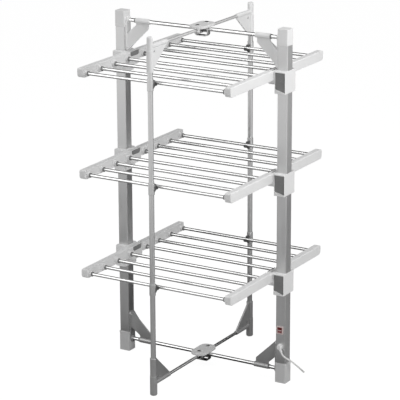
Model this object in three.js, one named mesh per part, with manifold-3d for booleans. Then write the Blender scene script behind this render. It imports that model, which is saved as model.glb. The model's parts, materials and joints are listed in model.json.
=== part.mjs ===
// Heated clothes airer: two square posts, two slim legs, three tiers of heated bars on hinged wings.
// Millimetres. X runs along the bars, Y from front to back, Z up. The origin is at the base, in the middle.
import * as THREE from 'three';
import { mergeVertices } from 'three/addons/utils/BufferGeometryUtils.js';
import Module from 'manifold-3d';

const wasm = await Module();
wasm.setup();
const { Manifold, Mesh: SolidMesh } = wasm;

// Whole frame
const frameHeight = 1340;
const postSpacing = 686;
const legSpacing = 718;
const seatGap = 0.3;
const cutOverrun = 2;
const turningGap = 0.6;

// Facets
const barSides = 8;
const pinSides = 8;
const legSides = 12;
const cornerSteps = 2;
const wideCornerSteps = 3;

// Square posts with their caps and feet
const postWidth = 40;
const postWall = 1.5;
const postCorner = 3;
const capWidth = 43;
const capHeight = 60;
const capTop = 3;
const capCorner = 5;
const footWidth = 45;
const footHeight = 77;
const footFloor = 6;
const footRimHeight = 7;
const footRimWidth = 47;

// Slim round legs with their caps and feet
const legDiameter = 19;
const legWall = 1.2;
const legCapDiameter = 22;
const legCapHeight = 50;
const legCapTop = 4;
const legCapRound = 4;
const legFootDiameter = 27;
const legFootHeight = 75;
const legFootFloor = 8;
const legFootRound = 6;

// Crossbars and arms
const crossbarDiameter = 14;
const armDiameter = 11.5;
const topCrossDrop = 35;
const bottomCrossHeight = 47;

// Hub where the arms meet the crossbar
const hubPivotOffset = 33;
const hubPlateWidth = 64;
const hubPlateLength = 112;
const hubPlateCorner = 26;
const hubPlateThickness = 5;
const hubPlateLift = 12;
const hubSkirtDepth = 5;
const hubSkirtWall = 3;
const hubStrapWidth = 20;
const hubStrapThickness = 3.5;
const hubStrapDrop = 27;
const hubStrapCorner = 14;
const hubFloorThickness = 3;
const hubFloorDrop = 8;
const hubFloorWidth = 26;
const hubFloorLength = 92;
const rivetDiameter = 8;
const rivetHeadDiameter = 15;
const rivetHeadHeight = 3;
const armEyeDiameter = 20;

// Corner braces on the posts: sleeve, collar, flange and diagonal band
const gussetReach = 100;
const gussetDrop = 113;
const gussetPlate = 5;
const gussetSleeveDiameter = 20;
const gussetSleeveLength = 61;
const gussetCollarDiameter = 27;
const gussetCollarProud = 4;
const gussetFlangeWidth = 34;
const gussetFlangeThickness = 5;
const gussetFlangeCorner = 12;
const gussetBandInset = 6.5;
const gussetBandEndRise = 27;
const gussetOpeningStart = 17;
const gussetOpeningEnd = 50;
const gussetFlareLength = 28;
const gussetFlareWidth = 22;

// Corner gussets on the slim legs
const legGussetReach = 97;
const legGussetTopDrop = 91;
const legGussetBottomRise = 98;
const legGussetSleeveDiameter = 25;
const legGussetArmSleeveDiameter = 17;
const legGussetPlate = 6;
const legGussetBulge = 9;
const legGussetScrewDiameter = 6;
const legGussetScrewInset = 12;

// Tiers and their heated bars
const tierCount = 3;
const lowestTierHeight = 414;
const topTierDrop = 167;
const barsPerWing = 4;
const barDiameter = 12;
const barWall = 0.8;
const firstBarOffset = 54.5;
const lastBarLegGap = 33;
const barDrop = 3;
const leadStripThickness = 3;
const leadStripHeight = 8;

// Side rails of a wing
const railPostGap = 26;
const railWidth = 24;
const railHeight = 36;
const railTipReach = 20;
const railInnerEnd = 39;
const railTipBottomCorner = 14;
const railTipTopCorner = 7;
const railInnerBottomCorner = 7;
const railInnerTopCorner = 5;
const railBevel = 3;
const socketDepth = 16;
const bossDiameter = 20;
const bossLength = 9;
const panelDepth = 1.5;
const panelMargin = 6;

// Hinges of a wing
const pivotOffset = 18;
const pivotRise = 4;
const tongueThickness = 8;
const tongueRadius = 8;
const tongueInset = 8;
const pinDiameter = 6;
const pinLength = 25;

// Brackets that clamp the posts and hold the hinges
const bracketWidth = 44;
const bracketDepth = 82;
const bracketTopRise = 17;
const bracketHeight = 82;
const bracketCorner = 5;
const housingReach = 20;
const housingTopRise = 16;
const housingBottomDrop = 36;
const housingBottomCorner = 16;
const housingWallInner = 7;
const bracketPocketDepth = 14;
const bracketPocketMargin = 2;
const bracketPocketTopMargin = 6;
const bracketPocketInboardHeight = 49;
const bracketPocketOutboardHeight = 70;
const hingeCapLength = 54;
const hingeCapHeight = 17;
const hingeCapThickness = 2.5;
const hingeCapRise = 4.5;
const hingeCapRound = 8;

// Hooks that carry the outermost bars
const hookCollarDiameter = 23;
const hookCollarHeight = 44;
const hookCollarDrop = 24;
const hookThickness = 9;
const hookWall = 5;
const hookBackRise = 10;
const hookTipRise = 1.5;
const hookSteps = 6;

// Rocker switch and cord gland on the right post
const bezelWidth = 28;
const bezelHeight = 31;
const bezelThickness = 2.5;
const bezelCorner = 4;
const switchSideShift = 2;
const switchCentreZ = 208;
const switchBodyWidth = 21;
const switchBodyHeight = 24;
const switchBodyDepth = 20;
const rockerWidth = 17;
const rockerHeight = 20;
const rockerDepth = 8;
const rockerProud = 4;
const rockerPivotDepth = 3;
const rockerWellDepth = 11;
const rockerTilt = THREE.MathUtils.degToRad(9);
const rockerSideGap = 1;
const glandCentreZ = 144;
const glandDiameter = 17;
const glandDepth = 15;
const glandFlangeDiameter = 23;
const glandFlangeThickness = 3.5;
const glandStemDiameter = 12;
const glandStemLength = 6;
const reliefSideShift = 2;
const reliefFrontReach = 28;
const reliefRise = 2;
const reliefDirection = new THREE.Vector3(0.5, -0.1, -0.86).normalize();
const reliefLength = 24;
const reliefStartDiameter = 12;
const reliefEndDiameter = 8.5;
const postWiringDiameter = 5;

// Mains cord
const cordDiameter = 6;
const cordSides = 8;
const cordStepDiameters = 2.2;
const hankSides = 6;
const hankLoops = 4;
const hankFoldRadius = 18.5;
const hankFoldSteps = 7;
const hankRunLength = 115;
const hankRunSteps = 5;
const hankLayerPitch = 6.7;
const hankGapSkip = 4;
const hankWaistShare = 0.42;
const hankTopShare = 0.4;
const hankFloorLift = 1.8;
const hankTailShift = 15.5;
const hankTailShiftLength = 50;
const hankTailDropStart = 22;
const hankTailDropLength = 36;
const hankTailLength = 70;
const hankTailSteps = 10;
const hankDistance = 207.5;
const hankEntry = [[204.27, 26.37], [217, 20.2]];
const hankDirection = new THREE.Vector2(-0.47, 0.883).normalize();
const tieThickness = 1.2;
const tieWidth = 12;
const tieClearance = 0.4;
const plugDiameter = 38;
const plugBodyLength = 14;
const plugGripLength = 26;
const plugGripDiameter = 22;
const plugGripEndDiameter = 10;
const plugNoseDiameter = 34;
const plugNoseLength = 18;
const plugFloorGap = 0.2;
const plugPinDiameter = 4.8;
const plugPinLength = 19;
const plugPinSpacing = 19;
const plugSides = 16;

// Values that follow from the sizes above
const halfPost = postSpacing / 2;
const postInnerFace = halfPost - postWidth / 2;
const crossbarReach = halfPost - capWidth / 2 - seatGap;
const legOffset = legSpacing / 2;
const topCrossHeight = frameHeight - topCrossDrop;
const railOuterX = halfPost - railPostGap;
const railInnerX = railOuterX - railWidth;
const lastBarOffset = legOffset - lastBarLegGap;
const barPitch = (lastBarOffset - firstBarOffset) / (barsPerWing - 1);
const railTip = lastBarOffset + railTipReach;
const topTierHeight = frameHeight - topTierDrop;
const tierPitch = (topTierHeight - lowestTierHeight) / (tierCount - 1);
const tierHeights = Array.from({ length: tierCount }, (_, i) => lowestTierHeight + i * tierPitch);
const switchCentreX = halfPost - switchSideShift;
const reliefStart = new THREE.Vector3(
  halfPost - reliefSideShift, -reliefFrontReach, glandCentreZ + reliefRise);
const tierNames = ['low', 'middle', 'top'];
const wings = [['front', -1], ['back', 1]];
const sides = [['left', -1], ['right', 1]];
const up = new THREE.Vector3(0, 0, 1);

const aluminium = new THREE.MeshStandardMaterial({ color: 0xc4c6c9, roughness: 0.38, metalness: 0.9 });
const barMetal = new THREE.MeshStandardMaterial({ color: 0xe2e4e6, roughness: 0.22, metalness: 0.95 });
const whitePlastic = new THREE.MeshStandardMaterial({ color: 0xeeeeec, roughness: 0.5, metalness: 0 });
const greyPlastic = new THREE.MeshStandardMaterial({ color: 0xb9bbbd, roughness: 0.55, metalness: 0 });
const darkPlastic = new THREE.MeshStandardMaterial({ color: 0x6b6d70, roughness: 0.5, metalness: 0 });
const redPlastic = new THREE.MeshStandardMaterial({ color: 0x8e2024, roughness: 0.35, metalness: 0 });
const bezelPlastic = new THREE.MeshStandardMaterial({ color: 0xd9c6c3, roughness: 0.4, metalness: 0 });
const steel = new THREE.MeshStandardMaterial({ color: 0xa9abad, roughness: 0.3, metalness: 1 });
const cable = new THREE.MeshStandardMaterial({ color: 0xf0f0ee, roughness: 0.6, metalness: 0 });

// Turns a closed geometry into a solid that can be cut and joined.
function solidOf(geometry) {
  const plain = geometry.clone();
  plain.deleteAttribute('normal');
  plain.deleteAttribute('uv');
  const merged = mergeVertices(plain);
  const vertProperties = new Float32Array(merged.attributes.position.array);
  const triVerts = new Uint32Array(merged.index.array);
  return new Manifold(new SolidMesh({ numProp: 3, vertProperties, triVerts }));
}

function geometryOf(solid) {
  const { vertProperties, triVerts } = solid.getMesh();
  const geometry = new THREE.BufferGeometry();
  geometry.setAttribute('position', new THREE.BufferAttribute(new Float32Array(vertProperties), 3));
  geometry.setIndex(new THREE.BufferAttribute(new Uint32Array(triVerts), 1));
  geometry.computeVertexNormals();
  return geometry;
}

function together(solids) {
  return solids.reduce((sum, solid) => sum.add(solid));
}

function join(...geometries) {
  return together(geometries.map(solidOf));
}

function cut(solid, ...geometries) {
  return geometries.map(solidOf).reduce((rest, tool) => rest.subtract(tool), solid);
}

function node(name, shape, material, z = 0) {
  const geometry = shape.isBufferGeometry ? shape : geometryOf(shape);
  const mesh = new THREE.Mesh(geometry, material);
  mesh.name = name;
  mesh.position.z = z;
  return mesh;
}

function block([x0, x1], [y0, y1], [z0, z1]) {
  const geometry = new THREE.BoxGeometry(Math.abs(x1 - x0), Math.abs(y1 - y0), Math.abs(z1 - z0));
  return geometry.translate((x0 + x1) / 2, (y0 + y1) / 2, (z0 + z1) / 2);
}

function rodX(radius, x0, x1, y, z, count) {
  const geometry = new THREE.CylinderGeometry(radius, radius, Math.abs(x1 - x0), count);
  return geometry.rotateZ(Math.PI / 2).translate((x0 + x1) / 2, y, z);
}

function rodY(radius, y0, y1, x, z, count) {
  const geometry = new THREE.CylinderGeometry(radius, radius, Math.abs(y1 - y0), count);
  return geometry.translate(x, (y0 + y1) / 2, z);
}

function rodZ(radius, z0, z1, x, y, count) {
  const geometry = new THREE.CylinderGeometry(radius, radius, Math.abs(z1 - z0), count);
  return geometry.rotateX(Math.PI / 2).translate(x, y, (z0 + z1) / 2);
}

// Cone from the origin up the Z axis.
function rodCone(startRadius, endRadius, length) {
  const geometry = new THREE.CylinderGeometry(endRadius, startRadius, length, pinSides);
  return geometry.rotateX(Math.PI / 2).translate(0, 0, length / 2);
}

// Outline with rounded corners from a list of [x, y, radius].
function roundedOutline(corners, steps = cornerSteps) {
  const points = [];
  corners.forEach(([x, y, radius = 0], i) => {
    const here = new THREE.Vector2(x, y);
    if (radius === 0) {
      points.push(here);
      return;
    }
    const last = corners[(i + corners.length - 1) % corners.length];
    const next = corners[(i + 1) % corners.length];
    const toLast = new THREE.Vector2(last[0], last[1]).sub(here).normalize();
    const toNext = new THREE.Vector2(next[0], next[1]).sub(here).normalize();
    const halfAngle = Math.acos(toLast.dot(toNext)) / 2;
    const middle = toLast.clone().add(toNext).normalize();
    const centre = here.clone().addScaledVector(middle, radius / Math.sin(halfAngle));
    const start = here.clone().addScaledVector(toLast, radius / Math.tan(halfAngle)).sub(centre);
    const end = here.clone().addScaledVector(toNext, radius / Math.tan(halfAngle)).sub(centre);
    const sweep = Math.atan2(start.cross(end), start.dot(end));
    for (let k = 0; k <= steps; k += 1) {
      points.push(start.clone().rotateAround(new THREE.Vector2(), sweep * k / steps).add(centre));
    }
  });
  return points;
}

function arcPoints(x, y, radius, fromAngle, toAngle, steps) {
  return Array.from({ length: steps + 1 }, (_, k) => {
    const angle = fromAngle + (toAngle - fromAngle) * k / steps;
    return new THREE.Vector2(x + radius * Math.cos(angle), y + radius * Math.sin(angle));
  });
}

function rectangle(width, height, corner) {
  const x = width / 2;
  const y = height / 2;
  return roundedOutline([[-x, -y, corner], [x, -y, corner], [x, y, corner], [-x, y, corner]]);
}

function sheet(points, depth, holes = []) {
  const shape = new THREE.Shape(points);
  shape.holes = holes.map((hole) => new THREE.Path(hole));
  return new THREE.ExtrudeGeometry(shape, { depth, bevelEnabled: false });
}

// Outline in (x, y), thick along Z.
function slabZ(points, z0, z1, holes) {
  return sheet(points, z1 - z0, holes).translate(0, 0, z0);
}

// Outline in (y, z), thick along X.
function slabX(points, x0, x1, holes) {
  const turn = new THREE.Matrix4().makeBasis(
    new THREE.Vector3(0, 1, 0), new THREE.Vector3(0, 0, 1), new THREE.Vector3(1, 0, 0));
  const low = Math.min(x0, x1);
  return sheet(points, Math.abs(x1 - x0), holes).applyMatrix4(turn).translate(low, 0, 0);
}

// Outline in (x, z), thick along Y.
function slabY(points, y0, y1, holes) {
  const high = Math.max(y0, y1);
  return sheet(points, Math.abs(y1 - y0), holes).rotateX(Math.PI / 2).translate(0, high, 0);
}

function towards(direction, points) {
  return points.map((point) => new THREE.Vector2(direction * point.x, point.y));
}

function makePost(side) {
  const inner = postWidth - 2 * postWall;
  const z0 = footFloor + seatGap;
  const z1 = frameHeight - capTop - seatGap;
  const tube = slabZ(rectangle(postWidth, postWidth, postCorner), z0, z1,
    [rectangle(inner, inner, postCorner - postWall)]);
  return tube.translate(side * halfPost, 0, 0);
}

function makeRightPost() {
  const faceY = [-postWidth, 0];
  const bodyHalfWidth = switchBodyWidth / 2 + seatGap;
  const bodyHalfHeight = switchBodyHeight / 2 + seatGap;
  const window = block([switchCentreX - bodyHalfWidth, switchCentreX + bodyHalfWidth], faceY,
    [switchCentreZ - bodyHalfHeight, switchCentreZ + bodyHalfHeight]);
  const cordHole = rodY(glandStemDiameter / 2 + seatGap, -postWidth, 0, halfPost, glandCentreZ, pinSides);
  return cut(solidOf(makePost(1)), window, cordHole);
}

// Cap on a post's top, joined to the brace that holds the end of the crossbar.
function makeTopCorner(side) {
  const pocket = postWidth + 2 * seatGap;
  const shell = slabZ(rectangle(capWidth, capWidth, capCorner), frameHeight - capHeight, frameHeight);
  const hollow = slabZ(rectangle(pocket, pocket, postCorner), frameHeight - capHeight - cutOverrun,
    frameHeight - capTop);
  const brace = makePostBrace(side, topCrossHeight, -1);
  return cutOnPost(side, solidOf(shell.translate(side * halfPost, 0, 0)).add(brace), hollow, topCrossHeight);
}

// Foot under a post, joined to the brace that holds the end of the crossbar.
function makeBottomCorner(side) {
  const pocket = postWidth + 2 * seatGap;
  const shell = slabZ(rectangle(footWidth, footWidth, capCorner), 0, footHeight);
  const rim = slabZ(rectangle(footRimWidth, footRimWidth, capCorner), footHeight - footRimHeight, footHeight);
  const hollow = slabZ(rectangle(pocket, pocket, postCorner), footFloor, footHeight + cutOverrun);
  const foot = join(shell, rim).translate([side * halfPost, 0, 0]);
  return cutOnPost(side, foot.add(makePostBrace(side, bottomCrossHeight, 1)), hollow, bottomCrossHeight);
}

// Opens a corner fitting for the post and for the end of the crossbar.
function cutOnPost(side, solid, hollow, z) {
  const bore = rodX(crossbarDiameter / 2 + seatGap, 0, side * (crossbarReach + seatGap), 0, z, barSides);
  const pocket = rectangle(postWidth + 2 * seatGap, postWidth + 2 * seatGap, postCorner);
  const post = slabZ(pocket, footHeight, frameHeight - capHeight).translate(side * halfPost, 0, 0);
  return cut(solid, bore, hollow.translate(side * halfPost, 0, 0), post);
}

// Tube with a hook at each tier.
function makeLeg(direction) {
  const outer = arcPoints(0, 0, legDiameter / 2, 0, 2 * Math.PI, legSides).slice(1);
  const inner = arcPoints(0, 0, legDiameter / 2 - legWall, 0, 2 * Math.PI, legSides).slice(1);
  const z0 = legFootFloor + seatGap;
  const z1 = frameHeight - legCapTop - seatGap;
  const tube = slabZ(outer, z0, z1).translate(0, direction * legOffset, 0);
  const bore = slabZ(inner, z0 - cutOverrun, z1 + cutOverrun).translate(0, direction * legOffset, 0);
  const hooks = tierHeights.map((z) => makeHook(direction).translate([0, 0, z - barDrop]));
  return cut(together([solidOf(tube), ...hooks]), bore);
}

// Round cup that closes one end of a slim leg; the profile is turned about the leg's axis.
function makeLegEnd(direction, outerDiameter, length, floor, edge, flip) {
  const outer = outerDiameter / 2;
  const bore = legDiameter / 2 + seatGap;
  const profile = [
    new THREE.Vector2(0, 0),
    ...arcPoints(outer - edge, edge, edge, -Math.PI / 2, 0, cornerSteps),
    new THREE.Vector2(outer, length),
    new THREE.Vector2(bore, length),
    new THREE.Vector2(bore, floor),
    new THREE.Vector2(0, floor),
  ];
  const cup = new THREE.LatheGeometry(profile, legSides).rotateX(Math.PI / 2);
  if (flip) {
    cup.rotateX(Math.PI).translate(0, 0, frameHeight);
  }
  return solidOf(cup.translate(0, direction * legOffset, 0));
}

function makeCrossbar(z) {
  return rodX(crossbarDiameter / 2, -crossbarReach, crossbarReach, 0, z, barSides);
}

function makeArm(direction, z, fittingDiameter) {
  const outer = direction * (legOffset - fittingDiameter / 2 - seatGap);
  const pivot = direction * hubPivotOffset;
  const rod = rodY(armDiameter / 2, pivot, outer, 0, z, barSides);
  const eyeTop = z + hubPlateLift - seatGap;
  const eyeBottom = z - hubFloorDrop + seatGap;
  const eye = rodZ(armEyeDiameter / 2, eyeBottom, eyeTop, 0, pivot, pinSides);
  const bore = rodZ(rivetDiameter / 2 + seatGap, eyeBottom - cutOverrun, eyeTop + cutOverrun,
    0, pivot, pinSides);
  return cut(join(rod, eye), bore);
}

// Plate with a turned-down rim, above the crossbar and the eyes of both arms.
function makeHubPlate(z) {
  const top = z + hubPlateLift + hubPlateThickness;
  const underside = z + hubPlateLift;
  const outline = rectangle(hubPlateWidth, hubPlateLength, hubPlateCorner);
  const inner = rectangle(hubPlateWidth - 2 * hubSkirtWall, hubPlateLength - 2 * hubSkirtWall,
    hubPlateCorner - hubSkirtWall);
  const plate = slabZ(outline, underside, top);
  const skirt = slabZ(outline, underside - hubSkirtDepth, underside + cutOverrun, [inner]);
  const holes = wings.map(([, direction]) => rodZ(rivetDiameter / 2 + seatGap, z, top + cutOverrun,
    0, direction * hubPivotOffset, pinSides));
  const barSlot = rodX(crossbarDiameter / 2 + seatGap, -hubPlateWidth, hubPlateWidth, 0, z, barSides);
  const armSlot = rodY(armDiameter / 2 + seatGap, -hubPlateLength, hubPlateLength, 0, z, barSides);
  return cut(join(plate, skirt), ...holes, barSlot, armSlot);
}

// Floor plate under the arm eyes, with both rivets and a bent strap that loops below the crossbar.
function makeHubStrap(z) {
  const halfWidth = hubPlateWidth / 2 - hubSkirtWall - seatGap;
  const top = z + hubPlateLift - seatGap;
  const bottom = z - hubStrapDrop;
  const outer = roundedOutline([
    [-halfWidth, top], [-halfWidth, bottom, hubStrapCorner],
    [halfWidth, bottom, hubStrapCorner], [halfWidth, top],
  ], wideCornerSteps);
  const innerWidth = halfWidth - hubStrapThickness;
  const innerCorner = hubStrapCorner - hubStrapThickness;
  const inner = roundedOutline([
    [innerWidth, top], [innerWidth, bottom + hubStrapThickness, innerCorner],
    [-innerWidth, bottom + hubStrapThickness, innerCorner], [-innerWidth, top],
  ], wideCornerSteps);
  const band = slabY([...outer, ...inner], -hubStrapWidth / 2, hubStrapWidth / 2);
  const floorTop = z - hubFloorDrop;
  const floorSpan = [floorTop - hubFloorThickness, floorTop];
  const bridge = block([-innerWidth - hubStrapThickness / 2, innerWidth + hubStrapThickness / 2],
    [-hubStrapWidth / 2, hubStrapWidth / 2], floorSpan);
  const floor = slabZ(rectangle(hubFloorWidth, hubFloorLength, hubFloorWidth / 2 - seatGap), ...floorSpan);
  const barSlot = rodX(crossbarDiameter / 2 + seatGap, -hubPlateWidth, hubPlateWidth, 0, z, barSides);
  const rivets = wings.map(([, direction]) => makeRivet(direction, z));
  return cut(join(band, bridge, floor), barSlot).add(together(rivets));
}

function makeRivet(direction, z) {
  const top = z + hubPlateLift + hubPlateThickness + seatGap;
  const bottom = z - hubFloorDrop - hubFloorThickness - seatGap;
  const y = direction * hubPivotOffset;
  const halfHead = rivetHeadHeight / 2;
  const shank = rodZ(rivetDiameter / 2, bottom - halfHead, top + halfHead, 0, y, pinSides);
  const head = rodZ(rivetHeadDiameter / 2, top, top + rivetHeadHeight, 0, y, pinSides);
  const foot = rodZ(rivetHeadDiameter / 2, bottom - rivetHeadHeight, bottom, 0, y, pinSides);
  return join(shank, head, foot);
}

// Brace between a post and a crossbar: a sleeve on the bar, a collar at the bar's end, a flange on the
// post, and a diagonal band between them that widens towards the flange.
function makePostBrace(side, z, vertical) {
  const face = postInnerFace - seatGap;
  const flangeFace = face - gussetFlangeThickness;
  const buried = face - gussetFlangeThickness / 2;
  const sleeveStart = face - gussetReach;
  const sleeveEnd = sleeveStart + gussetSleeveLength;
  const bandStart = sleeveStart + gussetBandInset;
  const far = z + vertical * gussetDrop;
  const sleeve = rodX(gussetSleeveDiameter / 2, side * sleeveStart, side * sleeveEnd, 0, z, barSides);
  const collar = rodX(gussetCollarDiameter / 2, side * (flangeFace - gussetCollarProud), side * face,
    0, z, legSides);
  const flangeHalf = gussetFlangeWidth / 2;
  const flange = slabX(roundedOutline([
    [-flangeHalf, z], [flangeHalf, z], [flangeHalf, far, gussetFlangeCorner],
    [-flangeHalf, far, gussetFlangeCorner],
  ]), side * flangeFace, side * face);
  const at = (x, rise) => new THREE.Vector2(side * x, z + vertical * rise);
  const bandOutline = [
    at(bandStart, 0), at(sleeveEnd - seatGap, 0), at(sleeveEnd - seatGap, gussetOpeningStart),
    at(flangeFace, gussetOpeningEnd), at(buried, gussetOpeningEnd), at(buried, gussetDrop - seatGap),
    at(flangeFace, gussetDrop - seatGap), at(bandStart, gussetBandEndRise),
  ];
  const band = slabY(bandOutline, -gussetPlate / 2, gussetPlate / 2);
  const flareHalf = gussetFlareWidth / 2;
  const flareStart = side * (flangeFace - gussetFlareLength);
  const flarePlan = [
    new THREE.Vector2(flareStart, -gussetPlate / 2), new THREE.Vector2(side * flangeFace, -flareHalf),
    new THREE.Vector2(side * buried, -flareHalf), new THREE.Vector2(side * buried, flareHalf),
    new THREE.Vector2(side * flangeFace, flareHalf), new THREE.Vector2(flareStart, gussetPlate / 2),
  ];
  const flare = solidOf(slabZ(flarePlan, Math.min(z, far), Math.max(z, far)))
    .intersect(solidOf(slabY(bandOutline, -gussetFlareWidth, gussetFlareWidth)));
  return join(sleeve, collar, flange, band).add(flare);
}

// Triangular brace between a slim leg and an arm, with a sleeve on each and a bulged outer edge at the foot.
function makeLegGusset(direction, z, far, sleeveNear, bulge, fittingDiameter) {
  const legInner = legOffset - legGussetSleeveDiameter / 2;
  const end = legInner - legGussetReach;
  const armRadius = legGussetArmSleeveDiameter / 2;
  const vertical = Math.sign(far - z);
  const overlap = sleeveNear - vertical * cutOverrun;
  const legSleeve = rodZ(legGussetSleeveDiameter / 2, overlap, far, 0, direction * legOffset, legSides);
  const armSleeveEnd = legOffset - fittingDiameter / 2 + legWall;
  const armSleeve = rodY(armRadius, direction * end, direction * armSleeveEnd, 0, z, barSides);
  const middleY = (end + legInner) / 2 + bulge;
  const middleZ = (z + far) / 2 + vertical * (armRadius / 2 + bulge);
  const hypotenuse = new THREE.QuadraticBezierCurve(
    new THREE.Vector2(legInner, far), new THREE.Vector2(middleY, middleZ),
    new THREE.Vector2(end, z + vertical * armRadius)).getPoints(wideCornerSteps);
  const outline = towards(direction, [
    new THREE.Vector2(end, z), new THREE.Vector2(armSleeveEnd, z), new THREE.Vector2(armSleeveEnd, overlap),
    new THREE.Vector2(legOffset, overlap), new THREE.Vector2(legOffset, far), ...hypotenuse,
  ]);
  const web = slabX(outline, -legGussetPlate / 2, legGussetPlate / 2);
  const legBore = rodZ(legDiameter / 2 + seatGap, Math.min(overlap, far) - cutOverrun,
    Math.max(overlap, far) + cutOverrun, 0, direction * legOffset, legSides);
  const armBore = rodY(armDiameter / 2 + seatGap, direction * (end - cutOverrun),
    direction * (legOffset - fittingDiameter / 2), 0, z, barSides);
  const screw = rodX(legGussetScrewDiameter / 2, -legGussetPlate, legGussetPlate,
    direction * (legInner - legGussetScrewInset), z + vertical * (armRadius + legGussetScrewInset), pinSides);
  return [[legSleeve, armSleeve, web], [legBore, armBore, screw]];
}

function makeLegTop(direction) {
  const cap = makeLegEnd(direction, legCapDiameter, legCapHeight, legCapTop, legCapRound, true);
  const [pieces, holes] = makeLegGusset(direction, topCrossHeight, topCrossHeight - legGussetTopDrop,
    frameHeight - legCapHeight, 0, legCapDiameter);
  return cut(cap.add(join(...pieces)), ...holes);
}

function makeLegFoot(direction) {
  const foot = makeLegEnd(direction, legFootDiameter, legFootHeight, legFootFloor, legFootRound, false);
  const [pieces, holes] = makeLegGusset(direction, bottomCrossHeight, bottomCrossHeight + legGussetBottomRise,
    legFootHeight, legGussetBulge, legFootDiameter);
  return cut(foot.add(join(...pieces)), ...holes);
}

// Collar on the leg with an open hook below the outermost bar. Heights are measured from the bar's axis.
function makeHook(direction) {
  const inner = barDiameter / 2 + turningGap;
  const outer = inner + hookWall;
  const collarFace = legOffset - hookCollarDiameter / 2;
  const collar = rodZ(hookCollarDiameter / 2, -hookCollarDrop, hookCollarHeight - hookCollarDrop,
    0, direction * legOffset, legSides);
  const profile = towards(direction, [
    new THREE.Vector2(lastBarOffset + inner, hookBackRise),
    ...arcPoints(lastBarOffset, 0, inner, 0, -Math.PI, hookSteps),
    new THREE.Vector2(lastBarOffset - inner, hookTipRise),
    new THREE.Vector2(lastBarOffset - outer, hookTipRise),
    ...arcPoints(lastBarOffset, 0, outer, -Math.PI, -Math.PI / 3, hookSteps),
    new THREE.Vector2(collarFace + hookWall / 2, -hookCollarDrop),
    new THREE.Vector2(collarFace + hookWall / 2, hookBackRise),
  ]);
  return join(collar, slabX(profile, -hookThickness / 2, hookThickness / 2));
}

// Bracket: a clamp round the post and a hinge housing on its inner side. Heights are from the tier's middle.
function makeBracket(side) {
  const inboard = halfPost - bracketWidth / 2;
  const outboard = halfPost + bracketWidth / 2;
  const top = bracketTopRise;
  const bottom = bracketTopRise - bracketHeight;
  const body = slabZ(rectangle(bracketWidth, bracketDepth, bracketCorner), bottom, top)
    .translate(side * halfPost, 0, 0);
  const shoulderRise = housingTopRise - pivotRise;
  const shoulder = Math.asin(shoulderRise / housingReach);
  const halfLength = pivotOffset + housingReach;
  const rightHalf = arcPoints(pivotOffset, pivotRise, housingReach, 0, shoulder, wideCornerSteps);
  const leftHalf = towards(-1, rightHalf).reverse();
  const lowerCorners = roundedOutline([
    [-halfLength, pivotRise], [-halfLength, -housingBottomDrop, housingBottomCorner],
    [halfLength, -housingBottomDrop, housingBottomCorner], [halfLength, pivotRise],
  ], wideCornerSteps).slice(1, -1);
  const housingX = railInnerX + seatGap;
  const housingOutline = [...rightHalf, ...leftHalf, ...lowerCorners];
  const housing = slabX(housingOutline, side * housingX, side * (inboard + postWall));
  const slotX = [side * (housingX + housingWallInner),
    side * (housingX + housingWallInner + tongueThickness + 2 * turningGap)];
  const slot = block(slotX, [-bracketDepth, bracketDepth],
    [pivotRise - tongueRadius - turningGap, housingTopRise + cutOverrun]);
  const pocketSize = postWidth + 2 * seatGap;
  const pocket = slabZ(rectangle(pocketSize, pocketSize, postCorner), bottom - cutOverrun, top + cutOverrun)
    .translate(side * halfPost, 0, 0);
  const boreEnds = [side * (housingX - cutOverrun), side * (housingX + pinLength + seatGap)];
  const pinBores = wings.map(([, direction]) => rodX(pinDiameter / 2 + seatGap, ...boreEnds,
    direction * pivotOffset, pivotRise, pinSides));
  const recessTop = top - bracketPocketTopMargin;
  const recessOutline = [
    new THREE.Vector2(side * (inboard + bracketPocketMargin), recessTop),
    new THREE.Vector2(side * (outboard - bracketPocketMargin), recessTop),
    new THREE.Vector2(side * (outboard - bracketPocketMargin), recessTop - bracketPocketOutboardHeight),
    new THREE.Vector2(side * (inboard + bracketPocketMargin), recessTop - bracketPocketInboardHeight),
  ];
  const recesses = wings.map(([, direction]) => slabY(recessOutline,
    direction * (bracketDepth / 2 - bracketPocketDepth), direction * (bracketDepth / 2 + cutOverrun)));
  return cut(join(body, housing), slot, pocket, ...pinBores, ...recesses);
}

// Cover plate with both hinge pins of a bracket: straight at its upper edge, rounded below.
function makeHingePins(side) {
  const half = hingeCapLength / 2;
  const low = pivotRise + hingeCapRise - hingeCapHeight / 2;
  const outline = roundedOutline([
    [-half, low, hingeCapRound], [half, low, hingeCapRound], [half, low + hingeCapHeight],
    [-half, low + hingeCapHeight],
  ], wideCornerSteps);
  const plate = slabX(outline, side * (railInnerX - hingeCapThickness), side * railInnerX);
  const pins = wings.map(([, direction]) => rodX(pinDiameter / 2, side * (railInnerX - hingeCapThickness / 2),
    side * (railInnerX + pinLength), direction * pivotOffset, pivotRise, pinSides));
  return join(plate, ...pins);
}

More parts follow.
